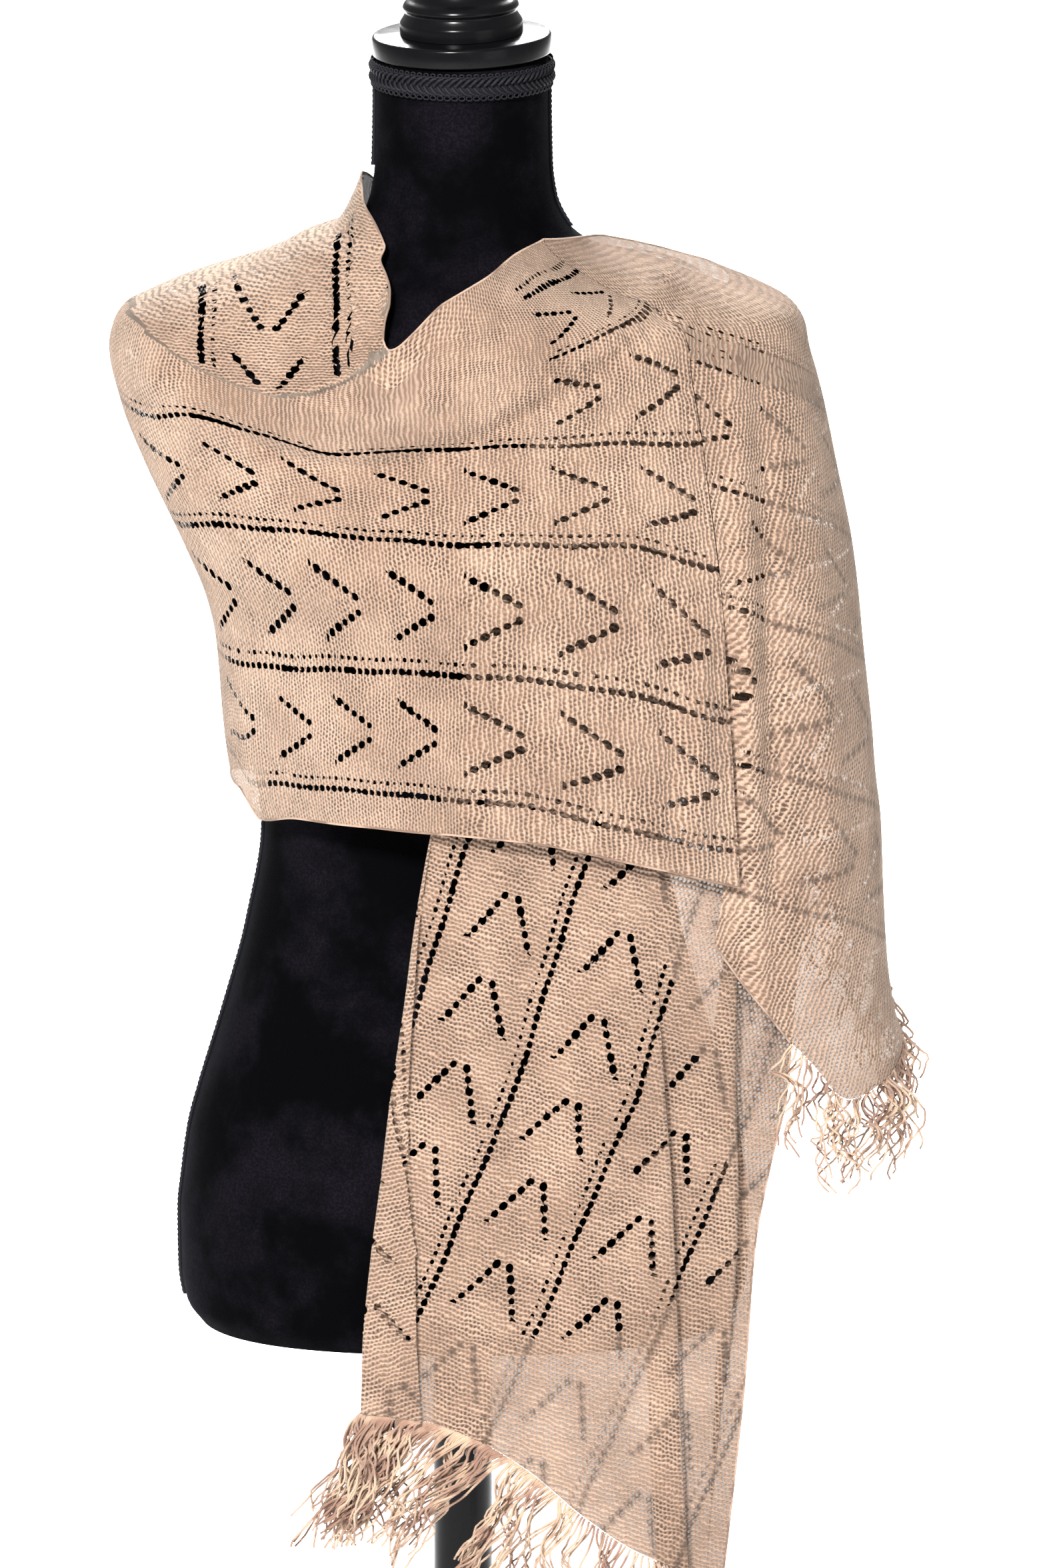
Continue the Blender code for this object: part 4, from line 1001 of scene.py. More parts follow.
def knit_material(colours):
    """Ridged knitting in rows across the stole, with painted shade in the small pits between the stitches.
    """
    name = "knitted_linen"
    if name in bpy.data.materials:
        return bpy.data.materials[name]
    material, tree, shader = new_material(name)
    uv = node(tree, "ShaderNodeUVMap", uv_map="cloth").outputs[0]
    parts = node(tree, "ShaderNodeSeparateXYZ", {0: uv})
    loose = noise(tree, 130.0, 2.0)
    uneven = noise(tree, 480.0, 2.0)
    wander = maths(tree, "MULTIPLY", loose, 1.7)
    row = maths(tree, "MULTIPLY_ADD", parts.outputs[0], 1 / (colours.row * UV_SCALE), wander)
    shift = maths(tree, "MULTIPLY", uneven, 0.8)
    stitch = maths(tree, "MULTIPLY_ADD", maths(tree, "FLOOR", row), 0.5, shift)
    stitch = maths(tree, "MULTIPLY_ADD", parts.outputs[1], 1 / (colours.stitch * UV_SCALE), stitch)
    ridge, bead = waved(tree, row), waved(tree, stitch)
    height = maths(tree, "MULTIPLY", ridge, maths(tree, "MULTIPLY_ADD", bead, 0.5, 0.5))
    beside_ridge = maths(tree, "SUBTRACT", 1.0, ridge)
    between = maths(tree, "MULTIPLY", beside_ridge, maths(tree, "SUBTRACT", 1.0, bead))
    open_knit = ranged(tree, noise(tree, 60.0, 3.0), 0.35, 0.65, 0.45, 1.0)
    # Painted shade: the pits between the stitches are coloured dark where shade falls in them; they are
    # also a little see-through.
    pit_shade = maths(tree, "MULTIPLY", ranged(tree, between, 0.16, 0.52), open_knit)
    ply = noise(tree, 1500.0, 2.0)
    tint = maths(tree, "MULTIPLY_ADD", noise(tree, 24.0, 4.0), 0.50, maths(tree, "MULTIPLY", uneven, 0.30))
    # Painted light: the raised stitches are tinted lighter by their height, beside the ply's own lighter
    # and darker fibres and the yarn's random tone.
    ply_and_relief_light = maths(tree, "MULTIPLY_ADD", height, 0.34, maths(tree, "MULTIPLY", ply, 0.30))
    tint = maths(tree, "ADD", tint, ply_and_relief_light)
    tint = ranged(tree, tint, 0.46, 1.00)
    yarn = mixed_colour(tree, tint, tuple(colours.yarn_dark), tuple(colours.yarn))
    colour = mixed_colour(tree, maths(tree, "MULTIPLY", pit_shade, 0.92), yarn, tuple(colours.pit_shade))
    # Painted shade: dark dots where eyelets are left uncut, for the dark that would show through open
    # ones.
    painted_eyelets = node(tree, "ShaderNodeAttribute", attribute_name="closed_eyelet").outputs["Fac"]
    colour = mixed_colour(tree, maths(tree, "MULTIPLY", painted_eyelets, 0.88), colour, tuple(colours.pit_shade))
    tree.links.new(colour, shader.inputs["Base Color"])
    tree.links.new(maths(tree, "MULTIPLY_ADD", pit_shade, -0.08, 1.0), shader.inputs["Alpha"])
    relief = maths(tree, "MULTIPLY_ADD", ply, 0.25, height)
    bumps(tree, shader, relief, 1.0, 0.0011)
    shader.inputs["Roughness"].default_value = 0.92
    shader.inputs["Sheen Weight"].default_value = 0.25
    shader.inputs["Sheen Roughness"].default_value = 0.5
    shader.inputs["Sheen Tint"].default_value = (1.0, 0.86, 0.70, 1.0)
    return material


def yarn_material(name, light, dark):
    """Plied yarn in strands, lighter and darker from strand to strand."""
    if name in bpy.data.materials:
        return bpy.data.materials[name]
    material, tree, shader = new_material(name)
    tint = ranged(tree, noise(tree, 55.0, 3.0), 0.38, 0.60)
    colour = mixed_colour(tree, tint, tuple(dark), tuple(light))
    tree.links.new(colour, shader.inputs["Base Color"])
    bumps(tree, shader, noise(tree, 900.0, 2.0), 0.5, 0.0005)
    shader.inputs["Roughness"].default_value = 0.85
    shader.inputs["Sheen Weight"].default_value = 0.2
    return material


def velvet_material(form):
    """Black pile with a mottled grey-blue sheen: its lighter patches are painted sheen in the colour,
    under a weak shader sheen.
    """
    name = "black_pile_velvet"
    if name in bpy.data.materials:
        return bpy.data.materials[name]
    material, tree, shader = new_material(name)
    brushed_pile_sheen = ranged(tree, noise(tree, 17.0, 4.0, 0.6), 0.40, 0.66)
    pile = ranged(tree, noise(tree, 700.0, 2.0), 0.35, 0.7)
    tint = maths(tree, "MULTIPLY", brushed_pile_sheen, maths(tree, "MULTIPLY_ADD", pile, 0.6, 0.4))
    # Painted sheen: brushed patches of pile are coloured up to seven times lighter, where the pile would
    # catch the light.
    light = tuple(7.0 * c for c in form.velvet)
    colour = mixed_colour(tree, tint, tuple(form.velvet), light)
    tree.links.new(colour, shader.inputs["Base Color"])
    bumps(tree, shader, pile, 0.35, 0.0004)
    shader.inputs["Roughness"].default_value = 0.95
    shader.inputs["Specular IOR Level"].default_value = 0.02
    shader.inputs["Sheen Weight"].default_value = form.velvet_sheen
    shader.inputs["Sheen Roughness"].default_value = 0.35
    shader.inputs["Sheen Tint"].default_value = (0.42, 0.50, 0.68, 1.0)
    return material


def gimp_material():
    """Dull black cord."""
    name = "black_gimp_cord"
    if name in bpy.data.materials:
        return bpy.data.materials[name]
    material, tree, shader = new_material(name)
    thread = noise(tree, 1200.0, 2.0)
    colour = mixed_colour(tree, thread, (0.0035, 0.0035, 0.005), (0.016, 0.016, 0.020))
    tree.links.new(colour, shader.inputs["Base Color"])
    bumps(tree, shader, thread, 0.5, 0.0003)
    shader.inputs["Roughness"].default_value = 0.55
    shader.inputs["Specular IOR Level"].default_value = 0.12
    return material


def lacquer_material(form):
    """Gloss black lacquer over turned wood, a little uneven."""
    name = "black_lacquer"
    if name in bpy.data.materials:
        return bpy.data.materials[name]
    material, tree, shader = new_material(name)
    worn = ranged(tree, noise(tree, 38.0, 4.0), 0.35, 0.75, 0.20, 0.36)
    tree.links.new(worn, shader.inputs["Roughness"])
    light = tuple(1.8 * c for c in form.wood)
    colour = mixed_colour(tree, noise(tree, 90.0, 3.0), tuple(form.wood), light)
    tree.links.new(colour, shader.inputs["Base Color"])
    bumps(tree, shader, noise(tree, 60.0, 3.0), 0.12, 0.002)
    shader.inputs["Coat Weight"].default_value = 0.03
    shader.inputs["Coat Roughness"].default_value = 0.18
    shader.inputs["Specular IOR Level"].default_value = 0.10
    return material


def wound_grid(start, end, cell):
    """Points and cloth coordinates of the wound stole between two angles."""
    low, high = np.interp((start, end), RUN_ANGLES, RUN_LENGTHS)
    run = np.linspace(low, high, round((high - low) / cell) + 1)
    across = np.linspace(0, WIDTH, round(WIDTH / cell) + 1)
    s, t = np.meshgrid(run, across)
    angle = np.interp(s.ravel(), RUN_LENGTHS, RUN_ANGLES)
    points = wound_point(angle, line_of(t.ravel()))
    return points.reshape(*s.shape, 3), s, t


WING_COLUMNS = 260


def wing_grid(cell):
    """Points and cloth coordinates of the left wing."""
    across = np.linspace(0, WIDTH, round(WIDTH / cell) + 1)
    u, t = np.meshgrid(np.linspace(0, 1, WING_COLUMNS + 1), across)
    v = line_of(t.ravel()) / (LINES - 1)
    points = wing_point(u.ravel(), v).reshape(*u.shape, 3)
    return points, RUN_LENGTHS[-1] + lengths_along(points, 1), t


# The crease over the right shoulder's front, seen from the front, where the roll begins.
Crease = namedtuple("Crease", "across height")
ROLL_CREASE = (
    Crease(-0.204, 1.318),
    Crease(-0.181, 1.304),
    Crease(-0.158, 1.292),
    Crease(-0.134, 1.2835),
    Crease(-0.111, 1.278),
    Crease(-0.088, 1.2797),
    Crease(-0.069, 1.286),
    Crease(-0.051, 1.300),
    Crease(-0.0414, 1.308),
)

# The right shoulder's lace: where its first eyelet line runs, its panels' spacing,
# the height of its arrowheads, its length for each metre of height, and the
# repeats that keep it apart from the chest's.
SHOULDER_LINE = -0.0735
SHOULDER_PANEL = 0.0795
SHOULDER_APEX = 1.316
SHOULDER_SLOPE = 1.55
SHOULDER_REPEATS = 10

# Plain cloth on the chest piece: the shoulder's inner side and depth, the strip
# beside the crease, the shoulder's top and outer corner, and the roll.
SHOULDER_INNER = -0.0425
SHOULDER_DEPTH = 0.035
CREASE_STRIP = 0.0035
SHOULDER_TOP_DEPTH, SHOULDER_TOP_HEIGHT = -0.022, 1.28
SHOULDER_CORNER_ACROSS, SHOULDER_CORNER_HEIGHT = -0.181, 1.27
ROLL_END_TURN = 1
ROLL_LOW = 1.23
ROLL_STRIP = 0.009


def shoulder_cloth(points, s, t, sizes):
    """Cloth coordinates of the chest piece, with the shoulder's front running straight down.

    Above the roll's crease the stole's length runs down the shoulder, and below it
    along the chest. Eyelets stop just short of the crease.
    """
    across, depth, height = points[..., 0], points[..., 1], points[..., 2]
    crease = np.interp(across, column(ROLL_CREASE, "across"), column(ROLL_CREASE, "height"))
    above = height - crease
    front = (depth < SHOULDER_DEPTH) & (across < SHOULDER_INNER)
    on_shoulder = front & (above > 0)
    run = (sizes.arrow_eyelets - 1) * sizes.arrow_step
    down = (SHOULDER_APEX - height) * SHOULDER_SLOPE + run + SHOULDER_REPEATS * sizes.arrow_pitch
    sideways = across_of(1) + (SHOULDER_LINE - across) / SHOULDER_PANEL * PANEL
    plain = front & (np.abs(above) < CREASE_STRIP)
    top = (depth > SHOULDER_TOP_DEPTH) & (height > SHOULDER_TOP_HEIGHT)
    plain |= (across < SHOULDER_INNER) & top
    plain |= front & (across < SHOULDER_CORNER_ACROSS) & (height > SHOULDER_CORNER_HEIGHT)
    repeats = np.interp(ROLL_END_TURN, RUN_ANGLES, RUN_LENGTHS) / sizes.arrow_pitch
    on_roll = (s < np.ceil(repeats) * sizes.arrow_pitch) & (t < across_of(3) - ROLL_STRIP)
    plain |= on_roll & (depth < 0) & (height > ROLL_LOW) & ~on_shoulder
    scale = np.where(plain, 0.0, 1.0)
    return np.where(on_shoulder, down, s), np.where(on_shoulder, sideways, t), scale


# The wing's lace: its tilt, its distance from the axis, its middle and its eyelets' scale.
WING_TILT = math.radians(24)
WING_REACH = 0.21
WING_MIDDLE = 1.2
WING_SCALE = 0.86


def wing_cloth(points):
    """Cloth coordinates of the wing, whose lines tilt down away from the chest."""
    across, depth, height = points[..., 0], points[..., 1], points[..., 2]
    angle = np.arctan2(across, -depth)
    angle = np.where(angle < 0, angle + 2 * math.pi, angle)
    aside = WING_REACH * (angle - math.radians(TURNS[-1].angle))
    level = height + aside * math.tan(WING_TILT)
    heights = np.array(TURNS[-1][1:])
    line = np.interp(-level, -heights, np.arange(LINES))
    t = across_of(line) - np.maximum(level - heights[0], 0) + np.maximum(heights[-1] - level, 0)
    s = RUN_LENGTHS[-1] + aside * math.cos(WING_TILT) + (WING_MIDDLE - height) * math.sin(WING_TILT)
    return s, t


def smooth_columns(keys, table, at):
    """Columns of a (row, key, xyz) table at new places, smooth and without overshoot."""
    step = np.diff(keys)[None, :, None]
    rise = np.diff(table, axis=1) / step
    both = rise[:, :-1] * rise[:, 1:]
    total = rise[:, :-1] + rise[:, 1:]
    middle = np.where(both > 0, 2 * both / np.where(total == 0, 1, total), 0)
    slope = np.concatenate([rise[:, :1], middle, rise[:, -1:]], axis=1)
    i = np.clip(np.searchsorted(keys, at, side="right") - 1, 0, len(keys) - 2)
    f = ((at - keys[i]) / (keys[i + 1] - keys[i]))[None, :, None]
    g = 1 - f
    run = step[:, i]
    start = table[:, i] * g * g * (1 + 2 * f) + slope[:, i] * run * f * g * g
    end = table[:, i + 1] * f * f * (3 - 2 * f) - slope[:, i + 1] * run * f * f * g
    return start + end


def fall_grid(cell):
    """Points and cloth coordinates of end A, with fine rows only where it shows."""
    hidden = np.linspace(0, HIDDEN_SHARE, HIDDEN_ROWS)
    shown = np.linspace(HIDDEN_SHARE, 1, round(SHOWN_LENGTH / cell))[1:]
    q = np.concatenate([hidden, shown])
    stations = np.arange(FALL_STATIONS)
    qs, ks = np.meshgrid(q, stations, indexing="ij")
    table = fall_point(ks.ravel(), qs.ravel()).reshape(*qs.shape, 3)
    run = lengths_along(table[PAST_SHOULDER:], 1).mean(0)
    at = np.linspace(0, run[-1], round(run[-1] / cell) + 1)
    points = smooth_columns(run, table, at)
    fold = run[FOLD_STATION]
    across, height = points[..., 0], points[..., 2]
    edge = smooth_columns(run, table, np.array([fold]))[:, 0, 0][:, None]
    flat = np.where(at[None] < fold, 2 * edge - across, across)
    line = np.interp(height, column(FALL_LINE, "height"), column(FALL_LINE, "across"))
    t = across_of(FALL_LINE_NUMBER) + (flat - line) / FALL_PANEL * PANEL
    s = flat * math.sin(FALL_TILT) + height * math.cos(FALL_TILT)
    return points, s, t, q


# Eyelets left uncut and painted as dark dots of shade: the width over which their dots fade, and their
# least scale.
PAINTED_EYELET_EASE = 0.0011
PAINTED_EYELET_SCALE = 0.6

# Where eyelets are left uncut and painted as dark dots of shade: on the chest's side and corner, on the
# back's middle and side, on the wing's front, low part and side, and on end A past the torso.
CHEST_SIDE_DEPTH, CHEST_SIDE_HEIGHT = -0.035, 1.27
CHEST_CORNER_ACROSS, CHEST_CORNER_HEIGHT = -0.115, 1.06
BACK_MIDDLE_ACROSS, BACK_MIDDLE_HEIGHT = 0.085, 1.33
BACK_SIDE_ACROSS, BACK_SIDE_HEIGHT = -0.10, 1.27
WING_FRONT_DEPTH, WING_LOW_HEIGHT, WING_SIDE_ACROSS = 0.03, 1.04, 0.178
PAST_SIDE = 0.004
PAST_LOW, PAST_LOW_RISE, PAST_LOW_ACROSS = 0.014, 0.024, (0.08, 0.14)

SELVEDGE_RADIUS = 0.0007
BACK_COARSER = 1.3


def knit(name, nodes, points, s, t, sizes, scale, painted_eyelets):
    """A stretch of the stole. Where eyelets are left uncut they are drawn together and show as dark dots
    of painted shade, for the dark that would show through open ones.
    """
    scale = scale * np.ones_like(s)
    depth_in = 0.5 - eyelet_distance(s, t, sizes, np.maximum(scale, PAINTED_EYELET_SCALE)) / PAINTED_EYELET_EASE
    shade = np.where(painted_eyelets & (scale > LEAST_SCALE), np.clip(depth_in, 0, 1), 0.0)
    points, flat_s, flat_t, normals, faces = cut_lace(points, s, t, sizes, np.where(painted_eyelets, 0.0, scale))
    uv = np.stack([flat_s, flat_t], -1) * UV_SCALE
    cloth = add_piece(name, points, faces, knit_material(sizes), nodes, uv, normals)
    cloth.data.attributes.new("closed_eyelet", "FLOAT", "POINT").data.foreach_set("value", shade.ravel())
    return cloth


def selvedge(name, paths, sizes):
    """Rolled edges of the knit along one or more borders."""
    parts = [tubes(path[None], SELVEDGE_RADIUS, 6, ref=(0.3, 0.2, 1.0)) for path in paths]
    points, faces = joined(parts)
    return add_piece(name, points, faces, knit_edge_material(sizes))


def knit_edge_material(sizes):
    """The knit's yarn, darkened with painted shade where the edges roll."""
    # Painted shade: the edge's yarn is darkened to 0.72 and 0.8 of the knit's colours.
    light = [0.72 * c for c in sizes.yarn]
    dark = [0.8 * c for c in sizes.yarn_dark]
    return yarn_material("knitted_edge", light, dark)


def strand_paths(roots, drops, rng, steps):
    """Curly strands from roots to root + drop, bent out first and down at the end.

    Neighbours share a lock's slow curl, and each has its own small crinkle.
    """
    f = np.linspace(0, 1, steps)[None, :, None]
    drops = drops[:, None]
    aside, down = np.array((1.0, 1.0, 0.0)), np.array((0.0, 0.0, 1.0))
    straight = aside * drops * f**0.9 + down * drops * f**1.2
    count = len(roots)
    locks = np.arange(count) // STRANDS_A_LOCK

    def waves(number, slow, fast, size):
        phase = rng.uniform(0, 2 * math.pi, (number, 1, 3))
        turns = rng.uniform(slow, fast, (number, 1, 3))
        reach = rng.uniform(0.3, 1.0, (number, 1, 3)) * size
        return (np.sin(phase + turns * 2 * math.pi * f) - np.sin(phase)) * reach

    curl = waves(locks[-1] + 1, 0.7, 2.0, LOCK_WAVE)[locks]
    own = waves(count, 1.0, 3.2, OWN_WAVE)
    small = waves(count, 4.0, 9.0, FINE_WAVE)
    return roots[:, None] + straight + (curl + own + small) * np.minimum(1, 2.5 * f)


class STOLE_OT_knit_chest(bpy.types.Operator):
    """Knit the stretch over the right shoulder and across the chest"""

    bl_idname = "stole.knit_chest"
    bl_label = "Knit chest and right shoulder"

    def execute(self, context):
        sizes = context.scene.stole
        points, s, t = wound_grid(BACK_END, TURNS[-1].angle, sizes.cell)
        s, t, scale = shoulder_cloth(points, s, t, sizes)
        nodes = ("stole_chest", "stole_right_shoulder")
        across, depth, height = points[..., 0], points[..., 1], points[..., 2]
        painted_eyelets = (depth > CHEST_SIDE_DEPTH) & (height < CHEST_SIDE_HEIGHT)
        painted_eyelets |= (across < CHEST_CORNER_ACROSS) & (height < CHEST_CORNER_HEIGHT)
        cloth = knit("stole_chest_knit", nodes, points, s, t, sizes, scale, painted_eyelets)
        edges = selvedge("stole_chest_edges", (points[0], points[-1]), sizes)
        return {"FINISHED"}


class STOLE_OT_knit_back(bpy.types.Operator):
    """Knit the stretch from the left shoulder across the back"""

    bl_idname = "stole.knit_back"
    bl_label = "Knit back"

    def execute(self, context):
        sizes = context.scene.stole
        points, s, t = wound_grid(BACK_START, BACK_END, sizes.cell * BACK_COARSER)
        across, height = points[..., 0], points[..., 2]
        painted_eyelets = (np.abs(across) < BACK_MIDDLE_ACROSS) & (height > BACK_MIDDLE_HEIGHT)
        painted_eyelets |= (across < BACK_SIDE_ACROSS) & (height < BACK_SIDE_HEIGHT)
        cloth = knit("stole_back_knit", ("stole_back",), points, s, t, sizes, 1.0, painted_eyelets)
        edges = selvedge("stole_back_edges", (points[0], points[-1]), sizes)
        return {"FINISHED"}


class STOLE_OT_knit_wing(bpy.types.Operator):
    """Knit the stretch over the left shoulder with the hanging end B"""

    bl_idname = "stole.knit_wing"
    bl_label = "Knit left wing"

    def execute(self, context):
        sizes = context.scene.stole
        points, s, t = wing_grid(sizes.cell)
        s, t = wing_cloth(points)
        across, depth, height = points[..., 0], points[..., 1], points[..., 2]
        painted_eyelets = (height < WING_LOW_HEIGHT) | (across > WING_SIDE_ACROSS)
        painted_eyelets &= depth < WING_FRONT_DEPTH
        cloth = knit("stole_wing_knit", ("stole_left_wing",), points, s, t, sizes, WING_SCALE, painted_eyelets)
        edges = selvedge("stole_wing_edges", (points[0], points[-1]), sizes)
        fringe = side_fringe(points, sizes)
        return {"FINISHED"}


class STOLE_OT_knit_fall(bpy.types.Operator):
    """Knit end A, which hangs down the front with its fringe"""

    bl_idname = "stole.knit_fall"
    bl_label = "Knit front end"

    def execute(self, context):
        sizes = context.scene.stole
        points, s, t, q = fall_grid(sizes.cell)
        shown = (q > EYELETS_FROM)[:, None] * np.ones_like(s)
        across, height = points[..., 0], points[..., 2]
        form_half = eased(FORM, "height", "half", height)
        low = TORSO_LOW + PAST_LOW + PAST_LOW_RISE * blend(*PAST_LOW_ACROSS, across)
        painted_eyelets = (across > form_half - PAST_SIDE) | (height < low)
        cloth = knit("stole_fall_knit", ("stole_front_fall",), points, s, t, sizes, shown, painted_eyelets)
        edges = selvedge("stole_fall_edges", (points[PAST_SHOULDER:, -1],), sizes)
        fringe = front_fringe(points, sizes)
        return {"FINISHED"}


def roots_along(hem, run, places):
    """Strand roots at lengths along a hem."""
    roots = np.stack([np.interp(places, run, hem[:, k]) for k in range(3)], -1)
    roots[:, 2] -= STRAND_START
    return roots


def hang_strands(name, solid, roots, drops, rng, steps, sizes):
    """A fringe's strands as one piece."""
    paths = strand_paths(roots, drops, rng, steps)
    points, faces = tubes(paths, STRAND_RADIUS, STRAND_SIDES, STRAND_TAPER)
    material = yarn_material("fringe_yarn_strands", sizes.straw, sizes.rose)
    return add_piece(name, points, faces, material, (solid,))


def front_fringe(points, sizes):
    """Fringe strands of end A, in bundles that sweep to the side."""
    rng = np.random.default_rng(7)
    hem = points[-1]
    run = lengths_along(hem, 0)
    places, at = [], 0.0005
    while at < run[-1] - 0.0005:
        places.append(at)
        x = np.interp(at, run, hem[:, 0])
        at += eased(FRONT_BUNDLES, "across", "gap", x) * rng.uniform(0.5, 1.6)
    roots = roots_along(hem, run, np.array(places))
    count = len(roots)
    names = ("lean", "forward", "length")
    values = {name: eased(FRONT_BUNDLES, "across", name, roots[:, 0]) for name in names}
    locks = rng.normal(0, 1, (count // STRANDS_A_LOCK + 1, 2))
    bundle = np.repeat(locks, STRANDS_A_LOCK, axis=0)[:count]
    drops = np.stack(
        [
            values["lean"] + 0.011 * bundle[:, 0] + rng.normal(0, 0.004, count),
            values["forward"] + 0.005 * bundle[:, 1] + rng.normal(0, 0.003, count),
            -values["length"] * rng.uniform(0.72, 1.05, count),
        ],
        -1,
    )
    return hang_strands("fringe_front_strands", "fringe_front", roots, drops, rng, 26, sizes)


def side_fringe(points, sizes):
    """Fringe strands of end B under the wing's slanting edge."""
    rng = np.random.default_rng(11)
    hem = points[:, -1]
    run = lengths_along(hem, 0)
    places = np.sort(rng.uniform(0.012, run[-1] - 0.001, SIDE_STRANDS))
    roots = roots_along(hem, run, places)
    count = len(roots)
    aside = rng.normal(-0.002, 0.006, count)
    forward = rng.normal(0, 0.006, count)
    drops = np.stack([aside, forward, -rng.uniform(0.032, 0.060, count)], -1)
    return hang_strands("fringe_side_strands", "fringe_side", roots, drops, rng, 20, sizes)


def closed_rings(index):
    """Faces between the rings of a grid of point numbers, and over both ends."""
    around = np.roll(index, -1, axis=1)
    quads = np.stack([index[:-1], around[:-1], around[1:], index[1:]], -1).reshape(-1, 4)
    return quads.tolist() + [index[0, ::-1].tolist(), index[-1].tolist()]


def on_circle(radius, angle, height):
    """Points round the axis, with the angle counted from the front."""
    return np.stack([radius * np.sin(angle), -radius * np.cos(angle), height + 0 * angle], -1)


# The torso's rings and sides, and the piping's step, sides and how far out it lies.
TORSO_RINGS = 230
TORSO_SIDES = 160
CORD_STEP = 0.0009
CORD_SIDES = 10
CORD_OUT = PIPING_RADIUS * 0.6

# The gimp braid: its backing, its place under the neck's top, its half height and cords.
BRAID_RADIUS = 0.0531
BRAID_BACKING = 0.0524
BRAID_DROP = 0.0083
BRAID_HALF = 0.0050
BRAID_CORDS = 0.0052
BRAID_STEPS = 121

# Turned pieces: their sides, steps of a smooth profile, and the ease of an edge.
TURNED_SIDES = 96
TURNED_STEPS = 160
TURNED_EDGE = 0.0006


class FORM_OT_cover_torso(bpy.types.Operator):
    """Cover the torso and neck in velvet"""

    bl_idname = "form.cover_torso"
    bl_label = "Cover torso"

    def execute(self, context):
        form = context.scene.dress_form
        rings = np.linspace(TORSO_LOW + 0.002, NECK_TOP, TORSO_RINGS)
        heights = np.concatenate([[TORSO_LOW + 0.0001], rings])
        angle, height = np.meshgrid(np.linspace(0, 2 * math.pi, TORSO_SIDES + 1)[:-1], heights)
        points = form_point(angle.ravel(), height.ravel())
        faces = closed_rings(np.arange(angle.size).reshape(angle.shape))
        add_piece("torso_velvet", points, faces, velvet_material(form), ("form_torso",))
        return {"FINISHED"}


class FORM_OT_lay_piping(bpy.types.Operator):
    """Lay the twisted piping on the side seams"""

    bl_idname = "form.lay_piping"
    bl_label = "Lay piping"

    def execute(self, context):
        form = context.scene.dress_form
        for row in PIPINGS:
            heights = np.arange(row.low, row.high, CORD_STEP)
            halves = eased(FORM, "height", "half", heights)
            slope = np.gradient(halves, heights)
            steep = np.hypot(1, slope)
            across = row.side * (halves + CORD_OUT / steep)
            path = np.stack([across, 0 * heights, heights - CORD_OUT * slope / steep], -1)
            turn = np.arange(CORD_SIDES) * 2 * math.pi / CORD_SIDES
            wind = heights[:, None] * 2 * math.pi / form.cord_pitch
            radius = PIPING_RADIUS * (0.86 + 0.16 * np.cos(2 * turn[None] - 2 * wind * row.side))
            ring = np.stack([np.cos(turn), np.sin(turn), 0 * turn], -1)
            points = path[:, None] + ring[None] * radius[..., None]
            faces = closed_rings(np.arange(points.shape[0] * CORD_SIDES).reshape(-1, CORD_SIDES))
            name = row.name.replace("form_", "cord_")
            add_piece(name, points.reshape(-1, 3), faces, gimp_material(), (row.name,))
        return {"FINISHED"}


class FORM_OT_weave_braid(bpy.types.Operator):
    """Weave the gimp braid round the top of the neck"""

    bl_idname = "form.weave_braid"
    bl_label = "Weave braid"

    def execute(self, context):
        form = context.scene.dress_form
        radius = BRAID_RADIUS
        count = round(2 * math.pi * radius / form.loop_pitch)
        step = 2 * math.pi / count
        middle = NECK_TOP - BRAID_DROP
        f = np.linspace(0, 1, 9)
        loop = np.linspace(0, 2 * math.pi, 11)
        paths_leaf, paths_loop = [], []
        for i in range(count):
            start = i * step
            for side in (1, -1):
                angle = start + side * 0.02 + step * (1.25 * f - 0.1)
                height = middle + side * (0.0004 + 0.0042 * np.sin(f * math.pi / 2))
                bulge = radius + 0.0011 * np.sin(math.pi * f) + 0.0002
                paths_leaf.append(on_circle(bulge, angle, height))
            for side, wide, tall in ((1, 0.0014, 0.0018), (-1, 0.0018, 0.0026)):
                angle = start + wide * np.sin(loop) / radius
                height = middle + side * (0.0056 + tall * (0.6 - 0.6 * np.cos(loop)) / 1.2)
                paths_loop.append(on_circle(radius + 0.0004, angle, height))
        leaves = tubes(np.array(paths_leaf), 0.00095, 5)
        loops = tubes(np.array(paths_loop), 0.00050, 4)
        band = np.linspace(0, 2 * math.pi, BRAID_STEPS)
        rows = [on_circle(radius, band, middle + side * BRAID_CORDS) for side in (-1, 1)]
        cords = tubes(np.array(rows), 0.0007, 5, ref=(0.0, 0.0, 1.0))
        backing = [on_circle(BRAID_BACKING, band, middle + side * BRAID_HALF) for side in (-1, 1)]
        index = np.arange(2 * BRAID_STEPS).reshape(2, BRAID_STEPS)
        quads = np.stack([index[0, :-1], index[0, 1:], index[1, 1:], index[1, :-1]], -1)
        band_part = (np.concatenate(backing), quads.tolist())
        points, faces = joined([leaves, loops, cords, band_part])
        add_piece("neck_gimp_braid", points, faces, gimp_material(), ("form_neck_braid",))
        return {"FINISHED"}


